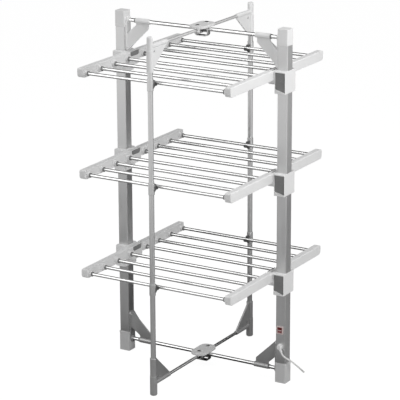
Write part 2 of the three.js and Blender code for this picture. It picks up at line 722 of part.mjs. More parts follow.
// Side rail of a wing with its hinge tongue and bar sockets; the right one has a channel for the lead strip.
function makeRail(side, direction) {
  const half = railHeight / 2;
  const outline = towards(direction, roundedOutline([
    [railInnerEnd, -half, railInnerBottomCorner], [railTip, -half, railTipBottomCorner],
    [railTip, half, railTipTopCorner], [railInnerEnd, half, railInnerTopCorner],
  ]));
  const body = slabX(outline, side * railInnerX, side * railOuterX);
  const bevelLine = railOuterX - railBevel - cutOverrun;
  const bevel = new THREE.Shape([
    new THREE.Vector2(side * bevelLine, half + cutOverrun),
    new THREE.Vector2(side * (railOuterX + cutOverrun), half + cutOverrun),
    new THREE.Vector2(side * (railOuterX + cutOverrun), half - railBevel - cutOverrun),
  ]);
  const bevelCut = slabY(bevel.getPoints(), 0, direction * (railTip + cutOverrun));
  const tongueX = railInnerX + seatGap + housingWallInner + turningGap;
  const tongueOutline = towards(direction, [
    ...arcPoints(pivotOffset, pivotRise, tongueRadius, Math.PI / 2, 3 * Math.PI / 2, hookSteps),
    new THREE.Vector2(railInnerEnd + tongueInset, pivotRise - tongueRadius),
    new THREE.Vector2(railInnerEnd + tongueInset, pivotRise + tongueRadius),
  ]);
  const tongue = slabX(tongueOutline, side * tongueX, side * (tongueX + tongueThickness));
  const offsets = Array.from({ length: barsPerWing }, (_, i) => direction * (firstBarOffset + i * barPitch));
  const bosses = offsets.map((y) => rodX(bossDiameter / 2, side * (railInnerX - bossLength),
    side * (railInnerX + bossLength), y, -barDrop, barSides));
  const sockets = offsets.map((y) => rodX(barDiameter / 2 + seatGap,
    side * (railInnerX - bossLength - cutOverrun), side * (railInnerX + socketDepth), y, -barDrop, barSides));
  const channelHalf = leadStripHeight / 2 + seatGap;
  const channelX = railInnerX + socketDepth;
  const channel = block([channelX - leadStripThickness - 2 * seatGap, channelX],
    [direction * firstBarOffset, direction * lastBarOffset],
    [-barDrop - channelHalf, -barDrop + channelHalf]);
  const panels = offsets.slice(1).map((y) => {
    const from = y - direction * (barPitch - bossDiameter / 2 - panelMargin);
    const to = y - direction * (bossDiameter / 2 + panelMargin);
    return block([side * (railInnerX - cutOverrun), side * (railInnerX + panelDepth)], [from, to],
      [-half + panelMargin, half - panelMargin]);
  });
  const pinBore = rodX(pinDiameter / 2 + turningGap, side * (tongueX - cutOverrun),
    side * (tongueX + tongueThickness + cutOverrun), direction * pivotOffset, pivotRise, pinSides);
  const channels = side === 1 ? [channel] : [];
  return cut(join(body, tongue, ...bosses), bevelCut, ...sockets, ...channels, ...panels, pinBore);
}

// Four bars, hollow from their left ends, with a flat strip across their right ends that carries the leads.
function makeBars(direction) {
  const reach = railInnerX + socketDepth - seatGap;
  const offsets = Array.from({ length: barsPerWing }, (_, i) => direction * (firstBarOffset + i * barPitch));
  const tubes = offsets.map((y) => rodX(barDiameter / 2, -reach, reach, y, -barDrop, barSides));
  const bores = offsets.map((y) => rodX(barDiameter / 2 - barWall, -reach - cutOverrun, railInnerX,
    y, -barDrop, barSides));
  const strip = block([reach - leadStripThickness, reach], [offsets[0], offsets[barsPerWing - 1]],
    [-barDrop - leadStripHeight / 2, -barDrop + leadStripHeight / 2]);
  return cut(join(...tubes, strip), ...bores);
}

// Switch frame on the post's front face with its body inside the post.
function makeSwitchBezel() {
  const face = -postWidth / 2 - seatGap;
  const front = face - bezelThickness;
  const rim = slabY(rectangle(bezelWidth, bezelHeight, bezelCorner), front, face);
  const body = block([-switchBodyWidth / 2, switchBodyWidth / 2],
    [face - bezelThickness / 2, face + switchBodyDepth], [-switchBodyHeight / 2, switchBodyHeight / 2]);
  const wellWidth = rockerWidth / 2 + rockerSideGap;
  const wellHeight = rockerHeight / 2 + rockerSideGap;
  const well = block([-wellWidth, wellWidth], [front - cutOverrun, front + rockerWellDepth],
    [-wellHeight, wellHeight]);
  return geometryOf(cut(join(rim, body), well)).translate(switchCentreX, 0, switchCentreZ);
}

// Rocker tilted to the off side, with its pivot inside the well and a stub axle to each side.
function makeRocker() {
  const front = -postWidth / 2 - seatGap - bezelThickness;
  const pivotY = front + rockerPivotDepth;
  const half = rockerHeight / 2 - rockerSideGap;
  const face = new THREE.QuadraticBezierCurve(
    new THREE.Vector2(-rockerProud - rockerPivotDepth, half),
    new THREE.Vector2(-rockerPivotDepth + rockerProud / 2, 0),
    new THREE.Vector2(-rockerProud - rockerPivotDepth, -half)).getPoints(wideCornerSteps);
  const outline = [...face, new THREE.Vector2(rockerDepth - rockerPivotDepth, 0)];
  const paddle = slabX(outline, -rockerWidth / 2, rockerWidth / 2).rotateX(rockerTilt);
  const axleReach = rockerWidth / 2 + rockerSideGap - seatGap;
  const axle = rodX(rockerSideGap, -axleReach, axleReach, 0, 0, barSides);
  return geometryOf(join(paddle, axle)).translate(switchCentreX, pivotY, switchCentreZ);
}

// Cord gland on the post's front face, with a tapered relief that leads the cord down and outwards.
function makeGland() {
  const face = -postWidth / 2 - seatGap;
  const flange = rodY(glandFlangeDiameter / 2, face - glandFlangeThickness, face,
    halfPost, glandCentreZ, legSides);
  const body = rodY(glandDiameter / 2, face - glandDepth, face, halfPost, glandCentreZ, legSides);
  const stem = rodY(glandStemDiameter / 2, face - glandFlangeThickness / 2, face + glandStemLength,
    halfPost, glandCentreZ, pinSides);
  const turn = new THREE.Quaternion().setFromUnitVectors(up, reliefDirection);
  const relief = rodCone(reliefStartDiameter / 2, reliefEndDiameter / 2, reliefLength)
    .applyQuaternion(turn).translate(reliefStart.x, reliefStart.y, reliefStart.z);
  return join(flange, body, stem, relief);
}

// Supply wiring inside the right post, lying against its inner wall.
function makePostWiring() {
  const x = halfPost + postWidth / 2 - postWall - seatGap - postWiringDiameter / 2;
  return rodZ(postWiringDiameter / 2, glandCentreZ, topTierHeight + bracketTopRise, x, 0, barSides);
}

// The cord's route to the hank, from the post's axis, chosen by hand; both ends are straight.
const cordRoute = [
  [10.15, -30.43, 125.1], [13.65, -31.13, 119.08], [18.8, -29.8, 112.4], [25.6, -25.4, 105.6],
  [33.2, -17.2, 97.4], [40, -5, 86.6], [44.2, 12, 72.2], [46, 34, 54.2], [44.9, 58, 36.2],
  [41.2, 80, 21], [36.6, 97.5, 10.6], [30.2, 111, 5.4], [20.2, 121.4, 3.6], [5.7, 133.4, 3.2],
  [-14.8, 149.9, 3.2], [-38.2, 168, 3.3], [-57.96, 182.11, 4.1], [-65.2, 187.34, 4.5],
  [-72.5, 192.52, 4.8],
];

function makeCord() {
  const points = cordRoute.map(([x, y, z]) => new THREE.Vector3(halfPost + x, y, z));
  const path = new THREE.CatmullRomCurve3(points);
  const section = arcPoints(0, 0, cordDiameter / 2, 0, 2 * Math.PI, cordSides).slice(1);
  const length = path.getLength();
  const steps = Math.round(length / (cordStepDiameters * cordDiameter));
  console.log(`free cord ${length.toFixed(0)} mm`);
  const along = { steps, bevelEnabled: false, extrudePath: path };
  return new THREE.ExtrudeGeometry(new THREE.Shape(section), along);
}

// A point given along the hank, across it and above the floor.
function hankPoint(along, across, height) {
  const x = halfPost + hankDirection.x * along + hankDirection.y * across;
  const y = hankDirection.y * along - hankDirection.x * across;
  return new THREE.Vector3(x, y, height);
}

function ease(share) {
  return (1 - Math.cos(Math.PI * THREE.MathUtils.clamp(share, 0, 1))) / 2;
}

// Loops stacked one on another: out along one run, round the far fold, back along the other run while
// climbing one layer, and round the near fold. Both runs are drawn in at the waist. The tail leaves the
// last loop at the near fold, towards the post.
function hankPath() {
  const near = hankDistance;
  const far = near + hankRunLength;
  const base = cordDiameter / 2 + hankFloorLift;
  const waistSine = Math.sin(Math.PI * Math.floor(hankRunSteps / 2) / hankRunSteps);
  const points = hankEntry.map(([along, across]) => hankPoint(along, across, base));
  const fold = (centre, fromAngle, toAngle, height) => {
    for (let k = 0; k <= hankFoldSteps; k += 1) {
      const angle = fromAngle + (toAngle - fromAngle) * k / hankFoldSteps;
      points.push(hankPoint(
        centre + hankFoldRadius * Math.cos(angle), hankFoldRadius * Math.sin(angle), height));
    }
  };
  const run = (from, to, side, height, climb) => {
    for (let k = 1; k < hankRunSteps; k += 1) {
      const share = k / hankRunSteps;
      const drawn = 1 - (1 - hankWaistShare) * (Math.sin(Math.PI * share) / waistSine) ** 2;
      points.push(hankPoint(
        from + (to - from) * share, side * hankFoldRadius * drawn, height + climb * ease(share)));
    }
  };
  for (let loop = 0; loop < hankLoops; loop += 1) {
    const height = base + loop * hankLayerPitch;
    if (loop > 0) {
      fold(near, 3 * Math.PI / 2, Math.PI / 2, height);
    }
    run(near, far, 1, height, 0);
    fold(far, Math.PI / 2, -Math.PI / 2, height);
    run(far, near, -1, height, hankLayerPitch);
  }
  const top = base + hankLoops * hankLayerPitch;
  const drop = top - plugDiameter / 2 - plugFloorGap;
  for (let k = 0; k <= hankTailSteps; k += 1) {
    const along = hankTailLength * k / hankTailSteps;
    points.push(hankPoint(near - along, -hankFoldRadius + hankTailShift * ease(along / hankTailShiftLength),
      top - drop * ease((along - hankTailDropStart) / hankTailDropLength)));
  }
  return points;
}

// Tube with a ring of vertices at each point; no stretch of the path is vertical.
function sweep(points, radius, count) {
  const vertices = [];
  const triangles = [];
  points.forEach((point, i) => {
    const before = points[Math.max(i - 1, 0)];
    const after = points[Math.min(i + 1, points.length - 1)];
    const along = after.clone().sub(before).normalize();
    const across = along.clone().cross(up).normalize();
    const normal = across.clone().cross(along);
    for (let k = 0; k < count; k += 1) {
      const angle = 2 * Math.PI * k / count;
      vertices.push(...point.clone().addScaledVector(across, radius * Math.cos(angle))
        .addScaledVector(normal, radius * Math.sin(angle)));
    }
  });
  for (let i = 0; i < points.length - 1; i += 1) {
    for (let k = 0; k < count; k += 1) {
      const a = i * count + k;
      const b = i * count + (k + 1) % count;
      triangles.push(a, b + count, b, a, a + count, b + count);
    }
  }
  const last = (points.length - 1) * count;
  for (let k = 1; k < count - 1; k += 1) {
    triangles.push(0, k, k + 1, last, last + k + 1, last + k);
  }
  const geometry = new THREE.BufferGeometry();
  geometry.setAttribute('position', new THREE.BufferAttribute(new Float32Array(vertices), 3));
  geometry.setIndex(triangles);
  return geometry;
}

// Least clear distance between stretches of the tube that don't follow one another closely.
function leastSelfGap(points) {
  const path = new THREE.CurvePath();
  points.slice(1).forEach((point, i) => path.add(new THREE.LineCurve3(points[i], point)));
  const length = path.getLength();
  const samples = path.getSpacedPoints(Math.round(2 * length / cordDiameter));
  const spacing = length / (samples.length - 1);
  const apart = Math.ceil(hankGapSkip * cordDiameter / spacing);
  let least = Infinity;
  samples.forEach((sample, i) => {
    samples.slice(i + apart).forEach((other) => {
      least = Math.min(least, sample.distanceTo(other) - cordDiameter);
    });
  });
  console.log(`hank ${length.toFixed(0)} mm, least gap to itself ${least.toFixed(2)} mm`);
}

function makeHank() {
  const points = hankPath();
  leastSelfGap(points);
  return sweep(points, cordDiameter / 2, hankSides);
}

// Places a shape whose local X runs across the hank and whose local Y is up, facing along the hank.
function placeOnHank(geometry, along, across, height) {
  const turn = new THREE.Matrix4().makeBasis(
    new THREE.Vector3(-hankDirection.y, hankDirection.x, 0), up,
    new THREE.Vector3(hankDirection.x, hankDirection.y, 0));
  const place = hankPoint(along, across, height);
  return geometry.applyMatrix4(turn).translate(place.x, place.y, place.z);
}

function makeTie() {
  const innerWidth = 2 * hankFoldRadius * hankWaistShare + cordDiameter + 2 * tieClearance;
  const stackHeight = (hankLoops - hankTopShare) * hankLayerPitch;
  const innerHeight = stackHeight + cordDiameter + 2 * tieClearance;
  const corner = cordDiameter / 2;
  const wall = 2 * tieThickness;
  const outer = rectangle(innerWidth + wall, innerHeight + wall, corner + tieThickness);
  const band = sheet(outer, tieWidth, [rectangle(innerWidth, innerHeight, corner)]);
  const middle = cordDiameter / 2 + hankFloorLift + stackHeight / 2;
  const start = hankDistance + hankRunLength / 2 - tieWidth / 2;
  return placeOnHank(band, start, 0, middle);
}

function makePlug() {
  const profile = [
    new THREE.Vector2(0, 0),
    new THREE.Vector2(plugGripEndDiameter / 2, 0),
    new THREE.Vector2(plugGripDiameter / 2, plugGripLength),
    new THREE.Vector2(plugDiameter / 2, plugGripLength),
    new THREE.Vector2(plugDiameter / 2, plugGripLength + plugBodyLength),
    new THREE.Vector2(plugNoseDiameter / 2, plugGripLength + plugBodyLength),
    new THREE.Vector2(plugNoseDiameter / 2, plugGripLength + plugBodyLength + plugNoseLength),
    new THREE.Vector2(0, plugGripLength + plugBodyLength + plugNoseLength),
  ];
  const body = new THREE.LatheGeometry(profile, plugSides).rotateX(Math.PI / 2);
  const nose = plugGripLength + plugBodyLength + plugNoseLength;
  const pins = [-1, 1].map((side) => rodZ(plugPinDiameter / 2, nose - plugPinDiameter, nose + plugPinLength,
    side * plugPinSpacing / 2, 0, pinSides));
  const start = hankDistance - hankTailLength - seatGap;
  return placeOnHank(geometryOf(join(body, ...pins)).rotateY(Math.PI), start,
    hankTailShift - hankFoldRadius, plugDiameter / 2 + plugFloorGap);
}

const frame = new THREE.Group();
frame.add(
  node('left_post', makePost(-1), aluminium),
  node('right_post', makeRightPost(), aluminium),
  node('front_leg', makeLeg(-1), aluminium),
  node('back_leg', makeLeg(1), aluminium),
  node('top_crossbar', makeCrossbar(topCrossHeight), barMetal),
  node('bottom_crossbar', makeCrossbar(bottomCrossHeight), barMetal),
  node('top_hub_plate', makeHubPlate(topCrossHeight), greyPlastic),
  node('bottom_hub_plate', makeHubPlate(bottomCrossHeight), greyPlastic),
  node('top_hub_strap', makeHubStrap(topCrossHeight), steel),
  node('bottom_hub_strap', makeHubStrap(bottomCrossHeight), steel),
);
wings.forEach(([wing, direction]) => {
  frame.add(
    node(`top_${wing}_arm`, makeArm(direction, topCrossHeight, legCapDiameter), barMetal),
    node(`bottom_${wing}_arm`, makeArm(direction, bottomCrossHeight, legFootDiameter), barMetal),
    node(`${wing}_leg_top`, makeLegTop(direction), whitePlastic),
    node(`${wing}_leg_foot`, makeLegFoot(direction), greyPlastic),
  );
});
sides.forEach(([sideName, side]) => {
  frame.add(
    node(`${sideName}_post_top`, makeTopCorner(side), whitePlastic),
    node(`${sideName}_post_foot`, makeBottomCorner(side), greyPlastic),
  );
});
tierHeights.forEach((z, i) => {
  sides.forEach(([sideName, side]) => {
    frame.add(
      node(`${tierNames[i]}_${sideName}_bracket`, makeBracket(side), whitePlastic, z),
      node(`${tierNames[i]}_${sideName}_hinge_pins`, makeHingePins(side), darkPlastic, z),
    );
  });
  wings.forEach(([wing, direction]) => {
    frame.add(
      node(`${tierNames[i]}_${wing}_left_rail`, makeRail(-1, direction), whitePlastic, z),
      node(`${tierNames[i]}_${wing}_right_rail`, makeRail(1, direction), whitePlastic, z),
      node(`${tierNames[i]}_${wing}_bars`, makeBars(direction), barMetal, z),
    );
  });
});
frame.add(
  node('switch_bezel', makeSwitchBezel(), bezelPlastic),
  node('switch_rocker', makeRocker(), redPlastic),
  node('cord_gland', makeGland(), whitePlastic),
  node('post_wiring', makePostWiring(), cable),
  node('mains_cord', makeCord(), cable),
  node('mains_cord_hank', makeHank(), cable),
  node('hank_tie', makeTie(), darkPlastic),
  node('mains_plug', makePlug(), whitePlastic),
);

export default frame;
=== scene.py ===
"""Looks of the heated clothes airer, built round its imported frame. Metres, +Z up, origin at the base."""

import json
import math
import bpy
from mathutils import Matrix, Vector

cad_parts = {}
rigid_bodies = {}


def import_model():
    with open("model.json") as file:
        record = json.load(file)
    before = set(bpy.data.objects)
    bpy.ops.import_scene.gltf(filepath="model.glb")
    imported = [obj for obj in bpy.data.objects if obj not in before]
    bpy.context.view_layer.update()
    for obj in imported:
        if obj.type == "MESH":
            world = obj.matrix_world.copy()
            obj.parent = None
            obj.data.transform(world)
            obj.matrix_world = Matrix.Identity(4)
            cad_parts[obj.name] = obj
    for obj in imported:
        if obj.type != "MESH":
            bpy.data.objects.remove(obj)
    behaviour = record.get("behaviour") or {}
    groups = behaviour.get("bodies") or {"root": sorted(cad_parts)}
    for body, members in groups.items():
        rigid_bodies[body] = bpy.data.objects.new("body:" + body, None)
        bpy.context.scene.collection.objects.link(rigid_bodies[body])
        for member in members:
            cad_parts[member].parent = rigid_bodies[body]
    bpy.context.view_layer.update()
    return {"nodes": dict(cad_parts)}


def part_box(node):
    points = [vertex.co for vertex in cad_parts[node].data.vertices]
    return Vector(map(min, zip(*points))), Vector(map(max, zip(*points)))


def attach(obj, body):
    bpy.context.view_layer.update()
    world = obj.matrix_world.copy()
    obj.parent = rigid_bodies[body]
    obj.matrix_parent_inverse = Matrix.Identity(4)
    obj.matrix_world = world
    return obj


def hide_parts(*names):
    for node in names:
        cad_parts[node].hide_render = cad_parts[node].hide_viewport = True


bl_info = {
    "name": "Heated clothes airer",
    "version": (1, 0, 0),
    "blender": (4, 5, 0),
    "location": "View3D > Sidebar > Airer",
    "description": "Builds the visible pieces and finishes of a heated clothes airer",
    "category": "Add Mesh",
}

import bmesh
import bpy
from bpy.props import FloatProperty, FloatVectorProperty, PointerProperty
from bpy.types import Operator, Panel, PropertyGroup
from mathutils import Matrix, Vector

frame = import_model()


def middle(node):
    low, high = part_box(node)
    return (low + high) / 2


def span(node):
    low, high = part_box(node)
    return high - low


def length(name, description, default):
    return FloatProperty(name=name, description=description, default=default, min=0.0, unit="LENGTH",
                         precision=4)


def colour(name, description, default):
    return FloatVectorProperty(name=name, description=description, default=default, size=3, min=0.0,
                               max=1.0, subtype="COLOR")


BRACKET_RISE = 0.017
TIERS = {tier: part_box(f"{tier}_left_bracket")[1].z - BRACKET_RISE for tier in ("low", "middle", "top")}
WINGS = {"front": -1, "back": 1}
SIDES = {"left": -1, "right": 1}
POST_X = middle("right_post").x
TOP_BAR_Z = middle("top_crossbar").z
BOTTOM_BAR_Z = middle("bottom_crossbar").z
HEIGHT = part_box("left_post_top")[1].z
SWITCH_Z = 0.208
GLAND_Z = 0.144
BARS_PER_WING = 4
OVERRUN = 0.002
GAP = 0.0003
ROUND = 40
FINE_ROUND = 24
SEAM_WELD = 1e-6
BOOLEAN_WELD = 2e-6
LEVEL_TOLERANCE = 1e-7


# Sizes and colours that a user would change

class AirerFrameSizes(PropertyGroup):
    post_width: length("Post width", "Outside width of the square posts", span("left_post").x)
    post_wall: length("Post wall", "Wall of the square posts", 0.0015)
    post_corner: length("Post corner", "Corner radius of the square posts", 0.003)
    cap_width: length("Cap width", "Outside width of a post's cap", span("left_post_top").y)
    foot_width: length("Foot width", "Outside width of a post's foot below its rim", 0.045)
    cap_height: length("Cap height", "Height of a post's cap", 0.060)
    foot_height: length("Foot height", "Height of a post's foot", 0.077)
    rim_height: length("Rim height", "Height of the foot's thicker rim", 0.007)
    rim_width: length("Rim width", "Outside width of the foot's rim", span("left_post_foot").y)
    leg_offset: length("Leg offset", "Distance of a slim leg from the middle", 0.359)
    leg_radius: length("Leg radius", "Radius of the slim legs", 0.0095)
    crossbar_radius: length("Crossbar radius", "Radius of the crossbars", span("top_crossbar").z / 2)
    arm_radius: length("Arm radius", "Radius of the arms", 0.00575)
    bracket_width: length("Bracket width", "Width of a bracket across the post", 0.044)
    bracket_depth: length("Bracket depth", "Depth of a bracket, front to back", span("top_left_bracket").y)
    bracket_height: length("Bracket height", "Height of a bracket", span("top_left_bracket").z)
    edge: length("Edge rounding", "Rounding of the moulded edges", 0.0010)


class AirerBraceSizes(PropertyGroup):
    reach: length("Reach", "Length of a brace along the crossbar", 0.100)
    drop: length("Drop", "Length of a brace along the post", 0.113)
    plate: length("Plate", "Thickness of the band", 0.005)
    sleeve_radius: length("Sleeve radius", "Radius of the sleeve on the crossbar", 0.010)
    sleeve_length: length("Sleeve length", "Length of the sleeve on the crossbar", 0.061)
    collar_radius: length("Collar radius", "Radius of the collar at the bar's end", 0.0135)
    flange_width: length("Flange width", "Width of the flange on the post", 0.034)
    flange_thickness: length("Flange thickness", "Thickness of the flange on the post", 0.005)
    flare_length: length("Flare length", "Length over which the band widens", 0.028)
    flare_width: length("Flare width", "Width of the band at the flange", 0.022)


class AirerWingSizes(PropertyGroup):
    bar_radius: length("Bar radius", "Radius of the heated bars", 0.006)
    bar_drop: length("Bar drop", "Height of the rail's middle above the bars", 0.003)
    first_bar: length("First bar", "Distance of the first bar from the middle", 0.0545)
    bar_pitch: length("Bar pitch", "Distance between the bars", 0.0905)
    rail_height: length("Rail height", "Height of the side rails", span("low_front_left_rail").z)
    rail_width: length("Rail width", "Width of the side rails", 0.024)
    rail_start: length("Rail start", "Distance of a rail's inner end from the middle", 0.039)
    rail_tip: length("Rail tip", "Distance of a rail's tip from the middle", 0.346)
    boss_radius: length("Boss radius", "Radius of the bosses that hold the bars", 0.010)
    boss_length: length("Boss length", "Length of the bosses that hold the bars", 0.009)


class AirerColours(PropertyGroup):
    aluminium: colour("Aluminium", "Satin aluminium of the posts", (0.60, 0.60, 0.60))
    tube: colour("Tube", "Bright tube of the bars", (0.80, 0.80, 0.80))
    white: colour("White plastic", "Brackets, rails and caps", (0.86, 0.86, 0.86))
    light_grey: colour("Light grey plastic", "Hub plates", (0.78, 0.78, 0.78))
    foot_grey: colour("Foot grey plastic", "Feet of the posts", (0.62, 0.62, 0.62))
    # This grey is darker than the light grey plastic of the same parts: partly a lacquered finish, partly
    # painted shade low down.
    lacquer_and_shade: colour("Grey lacquer", "Foot braces and feet of the slim legs", (0.42, 0.42, 0.42))
    # Dark grey also paints shade: the bracket inlays and the dark rings at the sleeve ends and bar ends
    # stand for shade.
    dark_grey: colour("Dark grey plastic", "Hinge covers, inlays, seals and the tie", (0.23, 0.23, 0.23))
    hook_grey: colour("Hook grey plastic", "Hooks on the slim legs", (0.10, 0.10, 0.10))
    zinc: colour("Zinc", "Straps, rivets and screws", (0.55, 0.55, 0.55))
    # The frame's colour also paints the highlight band on the rocker.
    bezel: colour("Switch frame", "Frame of the rocker switch", (0.78, 0.64, 0.62))
    red: colour("Rocker", "Rocker of the switch", (0.17, 0.006, 0.010))
    cord: colour("Cord", "Sheath of the mains cord", (0.88, 0.88, 0.87))


# Shader expressions

LEVEL_POINTINESS = 0.50


class Wire:
    """Output socket of a shader node that can be used in sums, differences and products."""

    def __init__(self, sketch, socket):
        self.sketch = sketch
        self.socket = socket

    def _math(self, operation, first, second):
        return self.sketch.node("ShaderNodeMath", {"operation": operation}, {0: first, 1: second})

    def __add__(self, other):
        return self._math("ADD", self, other)

    __radd__ = __add__

    def __sub__(self, other):
        return self._math("SUBTRACT", self, other)

    def __rsub__(self, other):
        return self._math("SUBTRACT", other, self)

    def __mul__(self, other):
        return self._math("MULTIPLY", self, other)

    __rmul__ = __mul__


class Sketch:
    """Node tree of one material or world, cleared and ready for new nodes."""

    def __init__(self, owner):
        owner.use_nodes = True
        self.tree = owner.node_tree
        self.tree.nodes.clear()

    def node(self, kind, settings=None, inputs=None, output=0):
        made = self.tree.nodes.new(kind)
        for name, value in (settings or {}).items():
            setattr(made, name, value)
        for name, value in (inputs or {}).items():
            if isinstance(value, Wire):
                self.tree.links.new(value.socket, made.inputs[name])
            else:
                made.inputs[name].default_value = value
        return Wire(self, made.outputs[output]) if made.outputs else None

    def noise(self, vector, scale, detail=2.0, roughness=0.5):
        inputs = {"Vector": vector, "Scale": scale, "Detail": detail, "Roughness": roughness}
        return self.node("ShaderNodeTexNoise", {}, inputs)

    def coordinates(self, stretch=(1.0, 1.0, 1.0)):
        place = self.node("ShaderNodeTexCoord", output="Object")
        return self.node("ShaderNodeMapping", {}, {"Vector": place, "Scale": stretch})

    def ramp(self, value, low, high, first=0.0, last=1.0):
        inputs = {"Value": value, "From Min": low, "From Max": high, "To Min": first, "To Max": last}
        return self.node("ShaderNodeMapRange", {}, inputs)

    def tint(self, share, first, second):
        settings = {"data_type": "RGBA"}
        inputs = {0: share, 6: (*first, 1.0), 7: (*second, 1.0)}
        return self.node("ShaderNodeMix", settings, inputs, output=2)

    def bump(self, height, distance):
        inputs = {"Height": height, "Distance": distance, "Strength": 1.0}
        return self.node("ShaderNodeBump", {}, inputs)

    def worn_edges(self, high):
        pointed = self.node("ShaderNodeNewGeometry", output="Pointiness")
        return self.ramp(pointed, LEVEL_POINTINESS, high)

    def surface(self, inputs):
        shader = self.node("ShaderNodeBsdfPrincipled", {}, inputs)
        self.node("ShaderNodeOutputMaterial", {}, {"Surface": shader})


# Finishes

STREAKS_ACROSS = 700.0
STREAKS_ALONG = 9.0
LACQUER_METALLIC = 0.5
LACQUER_ROUGHNESS = 0.26
LACQUER_PEEL = 0.00002


def shade(rgb, factor):
    return tuple(min(1.0, part * factor) for part in rgb)


def brushed_metal(sketch, rgb, along, roughness, streak_depth, metallic):
    """Drawn metal with fine streaks along one axis, faint clouds and rubbed edges."""
    stretch = [STREAKS_ALONG if axis == along else STREAKS_ACROSS for axis in "xyz"]
    fine = sketch.noise(sketch.coordinates(stretch), scale=1.0, detail=3.0, roughness=0.6)
    clouds = sketch.noise(sketch.coordinates(), scale=14.0)
    worn = sketch.worn_edges(0.56)
    tone = fine * 0.6 + clouds * 0.4
    base = sketch.tint(tone, shade(rgb, 0.90), shade(rgb, 1.08))
    gloss = sketch.ramp(fine, 0.3, 0.7, roughness - 0.05, roughness + 0.07) + clouds * 0.06 - worn * 0.05
    sketch.surface({
        "Base Color": base, "Metallic": metallic, "Roughness": gloss,
        "Normal": sketch.bump(fine, streak_depth),
    })


def moulded_plastic(sketch, rgb, roughness, grain, coat):
    """Moulded plastic with a fine spark-eroded grain, faint flow marks and slightly polished edges."""
    place = sketch.coordinates()
    texture = sketch.noise(place, scale=1500.0)
    flow = sketch.noise(sketch.coordinates((9.0, 9.0, 3.0)), scale=1.0, detail=3.0)
    dust = sketch.noise(place, scale=55.0, detail=4.0, roughness=0.65)
    worn = sketch.worn_edges(0.58)
    tone = flow * 0.5 + dust * 0.3 + worn * 0.5
    base = sketch.tint(tone, shade(rgb, 0.955), shade(rgb, 1.03))
    gloss = roughness + texture * 0.10 + dust * 0.06 - worn * 0.10
    sketch.surface({
        "Base Color": base, "Roughness": gloss, "Coat Weight": coat,
        "Normal": sketch.bump(texture, grain),
    })


def lacquered_metal(sketch, rgb):
    """Die-cast metal under a satin lacquer with a fine orange-peel skin and rubbed edges."""
    peel = sketch.noise(sketch.coordinates(), scale=420.0)
    flow = sketch.noise(sketch.coordinates((12.0, 12.0, 5.0)), scale=1.0, detail=3.0)
    worn = sketch.worn_edges(0.57)
    base = sketch.tint(flow * 0.6 + worn * 0.6, shade(rgb, 0.92), shade(rgb, 1.15))
    gloss = peel * 0.08 + flow * 0.10 - worn * 0.08 + LACQUER_ROUGHNESS
    sketch.surface({
        "Base Color": base, "Metallic": LACQUER_METALLIC, "Roughness": gloss,
        "Normal": sketch.bump(peel, LACQUER_PEEL),
    })


def finished(name, make, *values):
    """Material of a name, made when it is first asked for."""
    if name not in bpy.data.materials:
        make(Sketch(bpy.data.materials.new(name)), *values)
    return bpy.data.materials[name]


def finish_of(look, along="z"):
    """Material of a look: one of the record's slots or a variant; metals have streaks along an axis."""
    shades = bpy.context.scene.airer_colours
    metals = {
        "satin_aluminium": (shades.aluminium, along, 0.34, 0.00002, 0.9),
        "bright_tube": (shades.tube, along, 0.20, 0.00001, 1.0),
        "zinc_steel": (shades.zinc, along, 0.36, 0.00002, 1.0),
    }
    # The tube's lacquer copy has less metal, so it comes out lighter: a lit copy of the tube for the top
    # arms.
    lacquers = {"satin_lacquer_and_shade": shades.lacquer_and_shade, "top_arm_lit_lacquer": shades.tube}
    plastics = {
        "white_plastic": (shades.white, 0.46, 0.00002, 0.0),
        "light_grey_plastic": (shades.light_grey, 0.48, 0.00002, 0.0),
        "foot_grey": (shades.foot_grey, 0.48, 0.00002, 0.0),
        "dark_grey_plastic": (shades.dark_grey, 0.46, 0.00002, 0.0),
        "hook_grey": (shades.hook_grey, 0.46, 0.00002, 0.0),
        "bezel_plastic": (shades.bezel, 0.30, 0.00001, 0.2),
        "red_plastic": (shades.red, 0.16, 0.00001, 0.6),
        "cord_sheath": (shades.cord, 0.42, 0.00002, 0.0),
    }
    if look in metals:
        return finished(f"{look}_{along}", brushed_metal, *metals[look])
    if look in lacquers:
        return finished(look, lacquered_metal, lacquers[look])
    return finished(f"moulded_{look}", moulded_plastic, *plastics[look])


# Shapes made with mesh operators; each returns the mesh of one closed body

TURNS = {
    "x": Matrix(((0, 0, 1, 0), (1, 0, 0, 0), (0, 1, 0, 0), (0, 0, 0, 1))),
    "y": Matrix(((1, 0, 0, 0), (0, 0, 1, 0), (0, 1, 0, 0), (0, 0, 0, 1))),
    "z": Matrix.Identity(4),
}


def as_mesh(bm):
    mesh = bpy.data.meshes.new("shape")
    bm.to_mesh(mesh)
    bm.free()
    return mesh


def close(bm, turn=None):
    """Turns the finished bmesh into a mesh with its faces outwards."""
    if turn is not None:
        bm.transform(turn)
    bm.normal_update()
    bmesh.ops.recalc_face_normals(bm, faces=bm.faces[:])
    return as_mesh(bm)


def soften_rims(bm, width):
    """Rounds the edges that lie level in Z."""
    rims = [edge for edge in bm.edges
            if abs(edge.verts[0].co.z - edge.verts[1].co.z) < LEVEL_TOLERANCE]
    if width > 0 and rims:
        bmesh.ops.bevel(bm, geom=rims, offset=width, offset_type="OFFSET", affect="EDGES", segments=3,
                        profile=0.5, material=-1, clamp_overlap=True)


